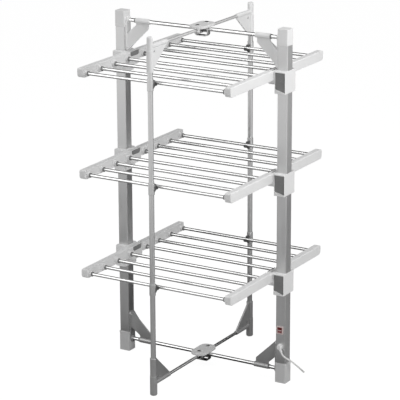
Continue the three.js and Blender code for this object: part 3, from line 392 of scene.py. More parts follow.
def slab(axis, outline, start, end, rim=0.0, steps=8):
    """Plate from an outline of (u, v, corner) thick along axis; (u, v) are the two other axes in order."""
    bm = bmesh.new()
    corners = [bm.verts.new((u, v, min(start, end))) for u, v, *_ in outline]
    bm.faces.new(corners)
    for vert, (_, _, *corner) in zip(corners, outline):
        if corner and corner[0] > 0:
            bmesh.ops.bevel(bm, geom=[vert], offset=corner[0], offset_type="OFFSET", affect="VERTICES",
                            segments=steps, profile=0.5, material=-1)
    grown = bmesh.ops.extrude_face_region(bm, geom=bm.faces[:])
    risen = [item for item in grown["geom"] if isinstance(item, bmesh.types.BMVert)]
    bmesh.ops.translate(bm, verts=risen, vec=(0, 0, abs(end - start)))
    bmesh.ops.recalc_face_normals(bm, faces=bm.faces[:])
    soften_rims(bm, rim)
    return close(bm, TURNS[axis])


def block(x, y, z):
    """Box between the ends (low, high) given for each axis."""
    bm = bmesh.new()
    sizes = [abs(high - low) for low, high in (x, y, z)]
    centre = [(low + high) / 2 for low, high in (x, y, z)]
    place = Matrix.Translation(centre) @ Matrix.Diagonal((*sizes, 1.0))
    bmesh.ops.create_cube(bm, size=1.0, matrix=place)
    return close(bm)


def rod(axis, radius, start, end, u, v, rim=0.0, segments=ROUND, end_radius=None):
    """Round rod along axis at (u, v) of the two other axes in order; its end rims are rounded."""
    bm = bmesh.new()
    low, high = min(start, end), max(start, end)
    radii = [radius, radius if end_radius is None else end_radius]
    if start > end:
        radii.reverse()
    bmesh.ops.create_cone(bm, cap_ends=True, cap_tris=False, segments=segments, radius1=radii[0],
                          radius2=radii[1], depth=high - low,
                          matrix=Matrix.Translation((u, v, (low + high) / 2)))
    soften_rims(bm, rim)
    return close(bm, TURNS[axis])


def lathe(axis, profile, u, v, segments=ROUND):
    """Turned piece of (radius, height) points along axis at (u, v); the first and last lie on the axis."""
    bm = bmesh.new()
    points = [bm.verts.new((radius, 0, height)) for radius, height in profile]
    lines = [bm.edges.new(pair) for pair in zip(points, points[1:])]
    bmesh.ops.spin(bm, geom=points + lines, cent=(0, 0, 0), axis=(0, 0, 1), angle=2 * math.pi,
                   steps=segments, use_merge=True, use_duplicate=False)
    bmesh.ops.remove_doubles(bm, verts=bm.verts[:], dist=SEAM_WELD)
    bmesh.ops.translate(bm, verts=bm.verts[:], vec=(u, v, 0))
    return close(bm, TURNS[axis])


def linked(name, data):
    """New object in the scene."""
    thing = bpy.data.objects.new(name, data)
    bpy.context.scene.collection.objects.link(thing)
    return thing


def combined(operation, first, others):
    """Result of joining, cutting or intersecting meshes in one exact boolean."""
    body = linked("body", first)
    group = bpy.data.collections.new("tools")
    bpy.context.scene.collection.children.link(group)
    for mesh in others:
        group.objects.link(bpy.data.objects.new("tool", mesh))
    step = body.modifiers.new("step", "BOOLEAN")
    step.operation = operation
    step.solver = "EXACT"
    step.operand_type = "COLLECTION"
    step.collection = group
    graph = bpy.context.evaluated_depsgraph_get()
    bm = bmesh.new()
    bm.from_mesh(bpy.data.meshes.new_from_object(body.evaluated_get(graph), depsgraph=graph))
    bmesh.ops.remove_doubles(bm, verts=bm.verts[:], dist=BOOLEAN_WELD)
    bmesh.ops.dissolve_degenerate(bm, edges=bm.edges[:], dist=BOOLEAN_WELD)
    for thing in [body, *group.objects]:
        bpy.data.objects.remove(thing)
    bpy.data.collections.remove(group)
    return as_mesh(bm)


def joined(*meshes):
    return combined("UNION", meshes[0], meshes[1:])


def cut(first, *others):
    return combined("DIFFERENCE", first, others)


def moved(mesh, matrix):
    """Copy of a mesh at another place; a mirrored one has its faces turned out again."""
    bm = bmesh.new()
    bm.from_mesh(mesh)
    bm.transform(matrix)
    if matrix.determinant() < 0:
        bmesh.ops.reverse_faces(bm, faces=bm.faces[:])
    return as_mesh(bm)


def mirror(x=1, y=1):
    return Matrix.Diagonal((x, y, 1.0, 1.0))


def raised(height):
    return Matrix.Translation((0, 0, height))


def gathered(*meshes):
    """One mesh of several bodies that only touch."""
    bm = bmesh.new()
    for mesh in meshes:
        bm.from_mesh(mesh)
    return as_mesh(bm)


SHARP_ANGLE = math.radians(38)
SHADING_WEIGHT = 80


def place_piece(name, mesh, slot, nodes=(), body="frame", along="z", look=None):
    """Object for a finished mesh: smooth where it is round, with even shading on flat faces."""
    for polygon in mesh.polygons:
        polygon.use_smooth = True
    mesh.set_sharp_from_angle(angle=SHARP_ANGLE)
    piece = linked(name, mesh)
    weighted = piece.modifiers.new("even_shading", "WEIGHTED_NORMAL")
    weighted.keep_sharp = True
    weighted.weight = SHADING_WEIGHT
    mesh.materials.clear()
    mesh.materials.append(finish_of(look or slot, along))
    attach(piece, body)
    if nodes:
        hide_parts(*nodes)
    return piece


def dress(node, look):
    """Material for a CAD node that stays as it is."""
    mesh = frame["nodes"][node].data
    mesh.materials.clear()
    mesh.materials.append(finish_of(look))


# Stage: floor, background, lamps, dark cards for the metal to mirror, and the camera

CAMERA_PLACE = (3.6969, -6.2431, 2.8240)
CAMERA_TURN = math.radians(30.716)
CAMERA_TILT = math.radians(-16.650)
CAMERA_ROLL = math.radians(-0.252)
CAMERA_LENS = 183.1
SENSOR_WIDTH = 36.0
CAMERA_REACH = 100.0
WHITE = (1.0, 1.0, 1.0, 1.0)
AMBIENT_LIGHT = 0.35
FLOOR_HALF = 20.0
FLOOR_GREYS = (0.80, 0.82)
FLOOR_LIFT_STRENGTH = 1.17
FLOOR_LIFT_SHARE = 0.80
LAMP_TARGET = (0, 0, 0.9)
# Name: place, side of the square, power
LAMPS = {
    "key": ((1.9, -0.3, 2.0), 1.2, 24.0),
    "fill": ((-2.4, -2.6, 2.4), 2.2, 20.0),
    "top": ((-0.2, -0.5, 3.3), 1.6, 12.0),
}
# Name: place, point it faces, width and height, grey
CARDS = {
    "flag_behind": ((-1.0, 1.5, 1.5), (-1.0, 0, 1.5), (3.4, 3.2), 0.08),
    "flag_above": ((-0.5, 1.2, 3.1), (-0.5, 1.2, 0.0), (4.0, 3.2), 0.08),
    "flag_beside": ((0.475, 1.65, 0.62), (0.475, 0.0, 0.62), (1.60, 1.24), 0.04),
    "flag_floor": ((0.0, 0.1, 0.003), (0.0, 0.1, 1.0), (4.2, 4.8), 0.42),
    "flag_under": ((-0.75, 0.65, 0.004), (-0.75, 0.65, 1.0), (2.3, 1.7), 0.01),
}


def add_camera():
    data = bpy.data.cameras.new("camera")
    data.sensor_width = SENSOR_WIDTH
    data.lens = CAMERA_LENS
    data.clip_end = CAMERA_REACH
    camera = linked("camera", data)
    camera.matrix_world = (
        Matrix.Translation(CAMERA_PLACE) @ Matrix.Rotation(CAMERA_TURN, 4, "Z")
        @ Matrix.Rotation(math.pi / 2 + CAMERA_TILT, 4, "X") @ Matrix.Rotation(CAMERA_ROLL, 4, "Z"))
    bpy.context.scene.camera = camera


def add_lamp(name, place, size, power):
    data = bpy.data.lights.new(name, "AREA")
    data.shape = "RECTANGLE"
    data.size = size
    data.size_y = size
    data.energy = power
    lamp = linked(name, data)
    lamp.location = place
    lamp.rotation_euler = (Vector(LAMP_TARGET) - Vector(place)).to_track_quat("-Z", "Y").to_euler()
    lamp.visible_camera = False


def add_card(name, place, target, size, grey):
    """Dark card that only metal and gloss see."""
    bm = bmesh.new()
    bmesh.ops.create_grid(bm, x_segments=1, y_segments=1, size=0.5)
    turn = (Vector(target) - Vector(place)).to_track_quat("Z", "Y").to_matrix().to_4x4()
    card = linked(name, close(bm, Matrix.Translation(place) @ turn @ Matrix.Diagonal((*size, 1.0, 1.0))))
    material = bpy.data.materials.new(name)
    paint = {"Base Color": (grey, grey, grey, 1.0), "Roughness": 1.0, "Specular IOR Level": 0.0}
    Sketch(material).surface(paint)
    card.data.materials.append(material)
    card.visible_camera = False
    card.visible_diffuse = False
    card.visible_shadow = False


def seen_directly(sketch):
    """1 on camera, glossy and transmission rays, which show the plain white background."""
    rays = [sketch.node("ShaderNodeLightPath", output=name)
            for name in ("Is Camera Ray", "Is Glossy Ray", "Is Transmission Ray")]
    most = {"operation": "MAXIMUM"}
    pair = sketch.node("ShaderNodeMath", most, {0: rays[0], 1: rays[1]})
    return sketch.node("ShaderNodeMath", most, {0: pair, 1: rays[2]})


def add_floor():
    bm = bmesh.new()
    bmesh.ops.create_grid(bm, x_segments=1, y_segments=1, size=FLOOR_HALF)
    floor = linked("floor", close(bm))
    material = bpy.data.materials.new("floor")
    sketch = Sketch(material)
    grain = sketch.noise(sketch.coordinates(), scale=3.0)
    base = sketch.tint(grain, *[(grey, grey, grey) for grey in FLOOR_GREYS])
    paint = sketch.node("ShaderNodeBsdfDiffuse", {}, {"Color": base})
    white = sketch.node("ShaderNodeEmission", {}, {"Color": WHITE, "Strength": FLOOR_LIFT_STRENGTH})
    share = seen_directly(sketch) * FLOOR_LIFT_SHARE
    mixed = sketch.node("ShaderNodeMixShader", {}, {0: share, 1: paint, 2: white})
    sketch.node("ShaderNodeOutputMaterial", {}, {"Surface": mixed})
    floor.data.materials.append(material)


def add_world():
    world = bpy.data.worlds.new("studio")
    bpy.context.scene.world = world
    sketch = Sketch(world)
    light = sketch.node("ShaderNodeBackground", {}, {"Color": WHITE, "Strength": AMBIENT_LIGHT})
    white = sketch.node("ShaderNodeBackground", {}, {"Color": WHITE, "Strength": 1.0})
    mixed = sketch.node("ShaderNodeMixShader", {}, {0: seen_directly(sketch), 1: light, 2: white})
    sketch.node("ShaderNodeOutputWorld", {}, {"Surface": mixed})


class AIRER_OT_stage(Operator):
    """Adds the camera, the floor, the background, the lamps and the dark cards."""
    bl_idname = "airer.stage"
    bl_label = "Stage"

    def execute(self, context):
        add_camera()
        add_floor()
        add_world()
        for name, settings in LAMPS.items():
            add_lamp(name, *settings)
        for name, settings in CARDS.items():
            add_card(name, *settings)
        context.scene.view_settings.view_transform = "Standard"
        return {"FINISHED"}


# Mains cord, folded into a tied hank behind the right post, with its plug

CORD_ROUTE = [
    (0.01015, -0.03043, 0.1251), (0.01365, -0.03113, 0.11908), (0.0188, -0.0298, 0.1124),
    (0.0256, -0.0254, 0.1056), (0.0332, -0.0172, 0.0974), (0.04, -0.005, 0.0866),
    (0.0442, 0.012, 0.0722), (0.046, 0.034, 0.0542), (0.0449, 0.058, 0.0362),
    (0.0412, 0.080, 0.021), (0.0366, 0.0975, 0.0106), (0.0302, 0.111, 0.0054),
    (0.0202, 0.1214, 0.0036), (0.0057, 0.1334, 0.0032), (-0.0148, 0.1499, 0.0032),
    (-0.0382, 0.168, 0.0033), (-0.05796, 0.18211, 0.0041), (-0.0652, 0.18734, 0.0045),
    (-0.0725, 0.19252, 0.0048),
]
CORD_RADIUS = 0.003
HANK_DIRECTION = Vector((-0.47, 0.883)).normalized()
HANK_DISTANCE = 0.2075
HANK_ENTRY = [(0.20427, 0.02637), (0.217, 0.0202)]
HANK_LOOPS = 4
FOLD_RADIUS = 0.0185
FOLD_STEPS = 7
RUN_LENGTH = 0.115
RUN_STEPS = 5
LAYER_PITCH = 0.0067
WAIST_SHARE = 0.42
TOP_SHARE = 0.4
FLOOR_LIFT = 0.0018
TAIL_SHIFT = 0.0155
TAIL_SHIFT_LENGTH = 0.050
TAIL_DROP_START = 0.022
TAIL_DROP_LENGTH = 0.036
TAIL_LENGTH = 0.070
TAIL_STEPS = 10
TIE_WALL = 0.0012
TIE_WIDTH = 0.012
TIE_ROOM = 0.0008
PLUG_RADIUS = 0.019
PLUG_NOSE_RADIUS = 0.0171
PLUG_GAP = 0.0002
CURVE_STEPS = 6


def hank_point(along, across, height):
    x = POST_X + HANK_DIRECTION.x * along + HANK_DIRECTION.y * across
    y = HANK_DIRECTION.y * along - HANK_DIRECTION.x * across
    return Vector((x, y, height))


def ease(share):
    return (1 - math.cos(math.pi * min(max(share, 0.0), 1.0))) / 2


def hank_path():
    """Loops stacked one on another, drawn in at the waist, with a tail that ends at the plug."""
    near = HANK_DISTANCE
    far = near + RUN_LENGTH
    base = CORD_RADIUS + FLOOR_LIFT
    waist = math.sin(math.pi * (RUN_STEPS // 2) / RUN_STEPS)
    points = [hank_point(along, across, base) for along, across in HANK_ENTRY]

    def fold(centre, start, end, height):
        for k in range(FOLD_STEPS + 1):
            angle = start + (end - start) * k / FOLD_STEPS
            points.append(hank_point(centre + FOLD_RADIUS * math.cos(angle),
                                     FOLD_RADIUS * math.sin(angle), height))

    def run(start, end, side, height, climb):
        for k in range(1, RUN_STEPS):
            share = k / RUN_STEPS
            drawn = 1 - (1 - WAIST_SHARE) * (math.sin(math.pi * share) / waist) ** 2
            points.append(hank_point(start + (end - start) * share, side * FOLD_RADIUS * drawn,
                                     height + climb * ease(share)))

    for loop in range(HANK_LOOPS):
        height = base + loop * LAYER_PITCH
        if loop > 0:
            fold(near, 3 * math.pi / 2, math.pi / 2, height)
        run(near, far, 1, height, 0)
        fold(far, math.pi / 2, -math.pi / 2, height)
        run(far, near, -1, height, LAYER_PITCH)
    top = base + HANK_LOOPS * LAYER_PITCH
    drop = top - PLUG_RADIUS - PLUG_GAP
    for k in range(TAIL_STEPS + 1):
        along = TAIL_LENGTH * k / TAIL_STEPS
        points.append(hank_point(near - along, -FOLD_RADIUS + TAIL_SHIFT * ease(along / TAIL_SHIFT_LENGTH),
                                 top - drop * ease((along - TAIL_DROP_START) / TAIL_DROP_LENGTH)))
    return points


def add_cord():
    """Cord as one smooth curve from the relief to the plug."""
    route = [Vector((POST_X + x, y, z)) for x, y, z in CORD_ROUTE]
    points = route[:-1] + hank_path()
    data = bpy.data.curves.new("mains_lead", "CURVE")
    data.dimensions = "3D"
    data.bevel_depth = CORD_RADIUS
    data.bevel_resolution = CURVE_STEPS
    data.resolution_u = CURVE_STEPS
    data.use_fill_caps = True
    line = data.splines.new("BEZIER")
    line.bezier_points.add(len(points) - 1)
    for knot, point in zip(line.bezier_points, points):
        knot.co = point
        knot.handle_left_type = "AUTO"
        knot.handle_right_type = "AUTO"
    lead = linked("mains_lead", data)
    data.materials.append(finish_of("cord_sheath"))
    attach(lead, "frame")
    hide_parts("mains_cord", "mains_cord_hank")
    return lead, points


def on_hank(mesh, along, across, height):
    """Places a shape whose local X runs across the hank and whose local Z runs along it."""
    turn = Matrix((
        (-HANK_DIRECTION.y, 0, HANK_DIRECTION.x, 0), (HANK_DIRECTION.x, 0, HANK_DIRECTION.y, 0),
        (0, 1, 0, 0), (0, 0, 0, 1)))
    return moved(mesh, Matrix.Translation(hank_point(along, across, height)) @ turn)


def square(width, height, corner):
    x, y = width / 2, height / 2
    return [(-x, -y, corner), (x, -y, corner), (x, y, corner), (-x, y, corner)]


def add_tie():
    inner_width = 2 * FOLD_RADIUS * WAIST_SHARE + 2 * CORD_RADIUS + TIE_ROOM
    stack = (HANK_LOOPS - TOP_SHARE) * LAYER_PITCH
    inner_height = stack + 2 * CORD_RADIUS + TIE_ROOM
    outline = square(inner_width + 2 * TIE_WALL, inner_height + 2 * TIE_WALL, CORD_RADIUS + TIE_WALL)
    outer = slab("z", outline, 0, TIE_WIDTH, rim=0.0003)
    inner = slab("z", square(inner_width, inner_height, CORD_RADIUS), -OVERRUN, TIE_WIDTH + OVERRUN)
    middle_height = CORD_RADIUS + FLOOR_LIFT + stack / 2
    start = HANK_DISTANCE + RUN_LENGTH / 2 - TIE_WIDTH / 2
    band = on_hank(cut(outer, inner), start, 0, middle_height)
    return place_piece("cord_tie", band, "dark_grey_plastic", ["hank_tie"])


def add_plug():
    grip, body, nose, pin = 0.026, 0.014, 0.018, 0.019
    collar = grip + body
    front = collar + nose
    profile = [
        (0, 0), (0.0046, 0), (0.0052, 0.001), (0.0064, 0.008), (0.0078, 0.014), (0.0105, 0.021),
        (0.0112, grip - 0.001), (PLUG_RADIUS - 0.0025, grip), (PLUG_RADIUS, grip + 0.002),
        (PLUG_RADIUS, collar - 0.001), (PLUG_RADIUS - 0.001, collar), (PLUG_NOSE_RADIUS, collar),
        (PLUG_NOSE_RADIUS, front - 0.001), (PLUG_NOSE_RADIUS - 0.0008, front), (0, front),
    ]
    shell = lathe("z", profile, 0, 0, 64)
    rings = [rod("z", radius, start, start + 0.0012, 0, 0, rim=0.0004)
             for radius, start in ((0.0062, 0.004), (0.0072, 0.0085), (0.0088, 0.0130))]
    earths = [block((-0.004, 0.004), (side * 0.0162, side * 0.0174), (collar + 0.002, front - 0.001))
              for side in (-1, 1)]
    pins = [rod("z", 0.0024, front - 0.003, front + pin, side * 0.0095, 0, rim=0.0011) for side in (-1, 1)]
    start = HANK_DISTANCE - TAIL_LENGTH - GAP
    about = Matrix.Rotation(math.pi, 4, "Y")
    place = (start, TAIL_SHIFT - FOLD_RADIUS, PLUG_RADIUS + PLUG_GAP)
    body_piece = place_piece("plug_body", on_hank(moved(joined(shell, *rings), about), *place),
                             "white_plastic", ["mains_plug"])
    metal = place_piece("plug_pins", on_hank(moved(gathered(*pins, *earths), about), *place), "zinc_steel")
    return [body_piece, metal]


RELIEF_START = Vector((POST_X - 0.002, -0.028, GLAND_Z + 0.002))
RELIEF_DIRECTION = Vector((0.5, -0.1, -0.86)).normalized()
RELIEF_LENGTH = 0.024
RIB_PITCH = 0.004
RIB_THICKNESS = 0.0016


def add_gland():
    """Gland on the post's front face and its tapered relief with ribs."""
    face = -span("right_post").y / 2 - GAP
    flange = rod("y", 0.0115, face, face - 0.0035, POST_X, GLAND_Z, rim=0.0008)
    barrel = rod("y", 0.0085, face - 0.001, face - 0.015, POST_X, GLAND_Z, rim=0.0015)
    stem = rod("y", 0.006, face + 0.006, face - 0.001, POST_X, GLAND_Z)
    taper = rod("z", 0.006, 0, RELIEF_LENGTH, 0, 0, rim=0.0005, end_radius=0.00425)
    ribs = []
    for k in range(4):
        low = 0.006 + RIB_PITCH * k
        ribs.append(rod("z", 0.0061 - 0.0018 * k / 4, low, low + RIB_THICKNESS, 0, 0, rim=0.0004))
    turn = Vector((0, 0, 1)).rotation_difference(RELIEF_DIRECTION).to_matrix().to_4x4()
    ribbed = moved(joined(taper, *ribs), Matrix.Translation(RELIEF_START) @ turn)
    solid = joined(flange, barrel, stem, ribbed)
    return place_piece("gland_with_relief", solid, "white_plastic", ["cord_gland"])


class AIRER_OT_cord(Operator):
    """Adds the mains cord with its gland, hank, tie and plug."""
    bl_idname = "airer.cord"
    bl_label = "Mains cord"

    def execute(self, context):
        gland = add_gland()
        lead, points = add_cord()
        tie = add_tie()
        plug = add_plug()
        total = sum((b - a).length for a, b in zip(points, points[1:]))
        return {"FINISHED"}


# Posts with their caps, feet and braces

SWITCH_OPENING = ((-0.013, 0.009), (-0.03, 0), (SWITCH_Z - 0.0125, SWITCH_Z + 0.0125))
GLAND_HOLE = 0.0063
FITTING_CORNER = 0.005
RIM_CORNER = 0.006
POCKET_REACH = 0.16
BAND_INSET = 0.0065
BAND_THROAT = 0.050
# Dark ring in each brace sleeve's open end, which paints the shade inside the sleeve.
SLEEVE_SHADE_RING_RADIUS = 0.0088
SLEEVE_SHADE_RING_REACH = 0.005
FLANGE_SCREW_Y = 0.0105
FLANGE_SCREW_DROP = 0.013


class AIRER_OT_posts(Operator):
    """Adds the two square posts and gives the wiring inside the right one its finish."""
    bl_idname = "airer.posts"
    bl_label = "Square posts"

    def execute(self, context):
        s = context.scene.airer_frame
        inner = s.post_width - 2 * s.post_wall
        for name, side in SIDES.items():
            low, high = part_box(f"{name}_post")
            tube = slab("z", square(s.post_width, s.post_width, s.post_corner), low.z, high.z)
            bore = slab("z", square(inner, inner, s.post_corner - s.post_wall), low.z - OVERRUN,
                        high.z + OVERRUN)
            tools = [bore]
            if side > 0:
                tools.append(block(*SWITCH_OPENING))
                tools.append(rod("y", GLAND_HOLE, -0.03, 0, 0, GLAND_Z))
            solid = moved(cut(tube, *tools), Matrix.Translation((side * POST_X, 0, 0)))
            place_piece(f"{name}_square_post", solid, "satin_aluminium", [f"{name}_post"])
        dress("post_wiring", "cord_sheath")
        return {"FINISHED"}


def brace_meshes(s, b, z, rise):
    """Sleeve, collar, flange, band and flare of the right-hand brace at height z, as one list."""
    face = POST_X - s.post_width / 2 - GAP
    flange_face = face - b.flange_thickness
    buried = face - b.flange_thickness / 2
    sleeve_start = face - b.reach
    sleeve_end = sleeve_start + b.sleeve_length
    band_start = sleeve_start + BAND_INSET
    far = z + rise * b.drop
    sleeve = rod("x", b.sleeve_radius, sleeve_start, sleeve_end, 0, z, rim=s.edge)
    collar = rod("x", b.collar_radius, flange_face - 0.004, face, 0, z, rim=s.edge)
    half = b.flange_width / 2
    outline = [(-half, z), (half, z), (half, far, 0.012), (-half, far, 0.012)]
    flange = slab("x", outline, flange_face, face, rim=0.0008)
    band_outline = [
        (band_start, z), (sleeve_end - GAP, z), (sleeve_end - GAP, z + rise * 0.017, 0.001),
        (flange_face, z + rise * BAND_THROAT), (buried, z + rise * BAND_THROAT),
        (buried, far - rise * 0.0005), (flange_face, far - rise * 0.0005),
        (band_start, z + rise * 0.027, 0.003),
    ]
    band = slab("y", band_outline, -b.plate / 2, b.plate / 2, rim=0.0007)
    flare_start = flange_face - b.flare_length
    half = b.flare_width / 2
    plan = [
        (flare_start, -b.plate / 2), (flange_face, -half), (buried, -half), (buried, half),
        (flange_face, half), (flare_start, b.plate / 2),
    ]
    flare = combined("INTERSECT", slab("z", plan, z, far), [slab("y", band_outline, -half * 2, half * 2)])
    return [sleeve, collar, flange, band, flare]


def screw_head(radius, height):
    """Pan head with a cross recess, standing on z = 0."""
    head = lathe("z", [(0, 0), (radius, 0), (radius, height * 0.45), (radius * 0.8, height * 0.8),
                       (radius * 0.45, height), (0, height)], 0, 0, FINE_ROUND)
    arm, wing = radius * 0.17, radius * 0.6
    recess = (height * 0.45, height * 2)
    return cut(head, block((-arm, arm), (-wing, wing), recess), block((-wing, wing), (-arm, arm), recess))


class AIRER_OT_post_ends(Operator):
    """Adds the caps and feet of the posts with their braces and screws."""
    bl_idname = "airer.post_ends"
    bl_label = "Caps, feet and braces"

    def execute(self, context):
        s = context.scene.airer_frame
        b = context.scene.airer_brace
        pocket = s.post_width + 2 * GAP
        at_post = Matrix.Translation((POST_X, 0, 0))
        bore_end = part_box("top_crossbar")[1].x + GAP

        def fitting(shells, z, pocket_ends):
            hollow = slab("z", square(pocket, pocket, s.post_corner), *pocket_ends)
            bore = rod("x", s.crossbar_radius + GAP, 0, bore_end, 0, z)
            return cut(joined(*[moved(shell, at_post) for shell in shells]), moved(hollow, at_post), bore)

        cap = slab("z", square(s.cap_width, s.cap_width, FITTING_CORNER), HEIGHT - s.cap_height, HEIGHT,
                   rim=0.0015)
        shell = slab("z", square(s.foot_width, s.foot_width, FITTING_CORNER), 0, s.foot_height - 0.001,
                     rim=0.001)
        rim = slab("z", square(s.rim_width, s.rim_width, RIM_CORNER), s.foot_height - s.rim_height,
                   s.foot_height, rim=0.0014)
        top = fitting([cap], TOP_BAR_Z, (POCKET_REACH, HEIGHT - 0.003))
        foot = fitting([shell, rim], BOTTOM_BAR_Z, (0.006, HEIGHT - POCKET_REACH))
        ends = {
            "top": (top, TOP_BAR_Z, -1, "white_plastic", "white_plastic", "white_plastic"),
            # The foot braces take the darker lacquer, which partly paints the shade low down.
            "foot": (foot, BOTTOM_BAR_Z, 1, "light_grey_plastic", "foot_grey", "satin_lacquer_and_shade"),
        }
        face = POST_X - s.post_width / 2 - GAP - b.flange_thickness
        sleeve_end = face + b.flange_thickness - b.reach + b.sleeve_length
        head = moved(screw_head(0.0034, 0.0022), Matrix.Rotation(-math.pi / 2, 4, "Y"))
        for end, (corner, z, rise, slot, corner_look, brace_look) in ends.items():
            bore = rod("x", s.crossbar_radius + GAP, 0, bore_end, 0, z)
            brace = cut(joined(*brace_meshes(s, b, z, rise)), bore)
            # A dark ring at the sleeve's open end paints the shade inside it.
            shade_ring = cut(rod("x", SLEEVE_SHADE_RING_RADIUS, sleeve_end - 0.001, sleeve_end + SLEEVE_SHADE_RING_REACH, 0, z, rim=0.0008),
                       rod("x", s.crossbar_radius + GAP / 3, sleeve_end - 0.01, sleeve_end + 0.01, 0, z))
            screw_z = z + rise * (b.drop - FLANGE_SCREW_DROP)
            heads = [moved(head, Matrix.Translation((face, y, screw_z)))
                     for y in (-FLANGE_SCREW_Y, FLANGE_SCREW_Y)]
            for name, side in SIDES.items():
                flip = mirror(x=side)
                place_piece(f"{name}_{end}_corner", moved(corner, flip), slot, [f"{name}_post_{end}"],
                            look=corner_look)
                place_piece(f"{name}_{end}_brace", moved(brace, flip), slot, look=brace_look)
                place_piece(f"{name}_{end}_brace_shade_ring", moved(shade_ring, flip), "dark_grey_plastic")
                place_piece(f"{name}_{end}_screws", moved(gathered(*heads), flip), "zinc_steel")
        return {"FINISHED"}


# Slim legs with their hooks, caps, feet and braces

HOOK_COLLAR = 0.0115
HOOK_INNER = 0.0066
HOOK_WALL = 0.005
HOOK_HALF = 0.0045
HOOK_SWEEP = math.radians(150)
HOOK_STEPS = 20
LEG_WALL = 0.0012
LEG_ROUND = 48
LEG_SLEEVE = 0.0125
ARM_SLEEVE = 0.0085
LEG_BRACE_REACH = 0.097
WEB_HALF = 0.003
LEG_SCREW_INSET = 0.012
LEG_CAP_HEIGHT = 0.050
LEG_FOOT_HEIGHT = 0.075


def hook_meshes(s, w):
    """Collar on the back leg and the open hook below the outermost bar, measured from the bar's height."""
    bar_y = w.first_bar + (BARS_PER_WING - 1) * w.bar_pitch
    collar = rod("z", HOOK_COLLAR, -0.024, 0.020, 0, s.leg_offset, rim=0.0012)
    bm = bmesh.new()
    outer = HOOK_INNER + HOOK_WALL
    ends = [(-HOOK_HALF, -outer), (HOOK_HALF, -outer), (HOOK_HALF, -HOOK_INNER), (-HOOK_HALF, -HOOK_INNER)]
    section = [bm.verts.new((x, bar_y + y, 0)) for x, y in ends]
    face = bm.faces.new(section)
    bmesh.ops.spin(bm, geom=[face, *face.edges, *section], cent=(0, bar_y, 0), axis=(1, 0, 0),
                   angle=HOOK_SWEEP, steps=HOOK_STEPS, use_merge=False, use_duplicate=False)
    bmesh.ops.remove_doubles(bm, verts=bm.verts[:], dist=SEAM_WELD)
    bmesh.ops.holes_fill(bm, edges=[edge for edge in bm.edges if edge.is_boundary])
    crook = close(bm)
    lip = rod("x", HOOK_WALL / 2, -HOOK_HALF, HOOK_HALF, bar_y - HOOK_INNER - HOOK_WALL / 2, 0.0003,
              rim=0.0005)
    face_y = s.leg_offset - HOOK_COLLAR + 0.003
    arm = slab("x", [
        (bar_y + HOOK_INNER, 0.010), (face_y, 0.010), (face_y, -0.0235), (bar_y + 0.0045, -0.0100),
        (bar_y, -HOOK_INNER - 0.001), (bar_y + HOOK_INNER, -0.002),
    ], -HOOK_HALF, HOOK_HALF, rim=0.0006)
    room = rod("x", HOOK_INNER, -0.02, 0.02, bar_y, 0)
    bore = rod("z", s.leg_radius + GAP / 2, -0.03, 0.03, 0, s.leg_offset)
    return cut(collar, bore), cut(joined(crook, lip, arm), room, bore)


def leg_brace(s, z, far, near, bulge, fitting):
    """Sleeves and web of the back leg's brace, the tools that open them, and the place of its screw."""
    leg_inner = s.leg_offset - LEG_SLEEVE
    end = leg_inner - LEG_BRACE_REACH
    rise = 1 if far > z else -1
    overlap = near - rise * OVERRUN
    leg_sleeve = rod("z", LEG_SLEEVE, overlap, far, 0, s.leg_offset, rim=s.edge)
    sleeve_end = s.leg_offset - fitting + 0.0012
    arm_sleeve = rod("y", ARM_SLEEVE, end, sleeve_end, 0, z, rim=s.edge)
    knee_y = (end + leg_inner) / 2 + bulge
    knee_z = (z + far) / 2 + rise * (ARM_SLEEVE / 2 + bulge)
    start_z = z + rise * ARM_SLEEVE
    bend = min(math.dist((leg_inner, far), (knee_y, knee_z)), math.dist((end, start_z), (knee_y, knee_z)))
    web = slab("x", [
        (end, z), (sleeve_end, z), (sleeve_end, overlap), (s.leg_offset, overlap), (s.leg_offset, far),
        (leg_inner, far), (knee_y, knee_z, bend * 0.98 if bulge else 0.0), (end, start_z),
    ], -WEB_HALF, WEB_HALF, rim=0.0009, steps=16)
    leg_bore = rod("z", s.leg_radius + GAP, min(overlap, far) - OVERRUN, max(overlap, far) + OVERRUN, 0,
                   s.leg_offset)
    arm_bore = rod("y", s.arm_radius + GAP, end - OVERRUN, s.leg_offset - fitting, 0, z)
    screw_y, screw_z = leg_inner - LEG_SCREW_INSET, z + rise * (ARM_SLEEVE + LEG_SCREW_INSET)
    hole = rod("x", 0.003, -0.01, 0.01, screw_y, screw_z, segments=FINE_ROUND)
    dish = rod("x", 0.0046, 0.0018, 0.0052, screw_y, screw_z, end_radius=0.0062)
    dishes = [dish, moved(dish, mirror(x=-1))]
    return [leg_sleeve, arm_sleeve, web], [leg_bore, arm_bore, hole, *dishes], (screw_y, screw_z)


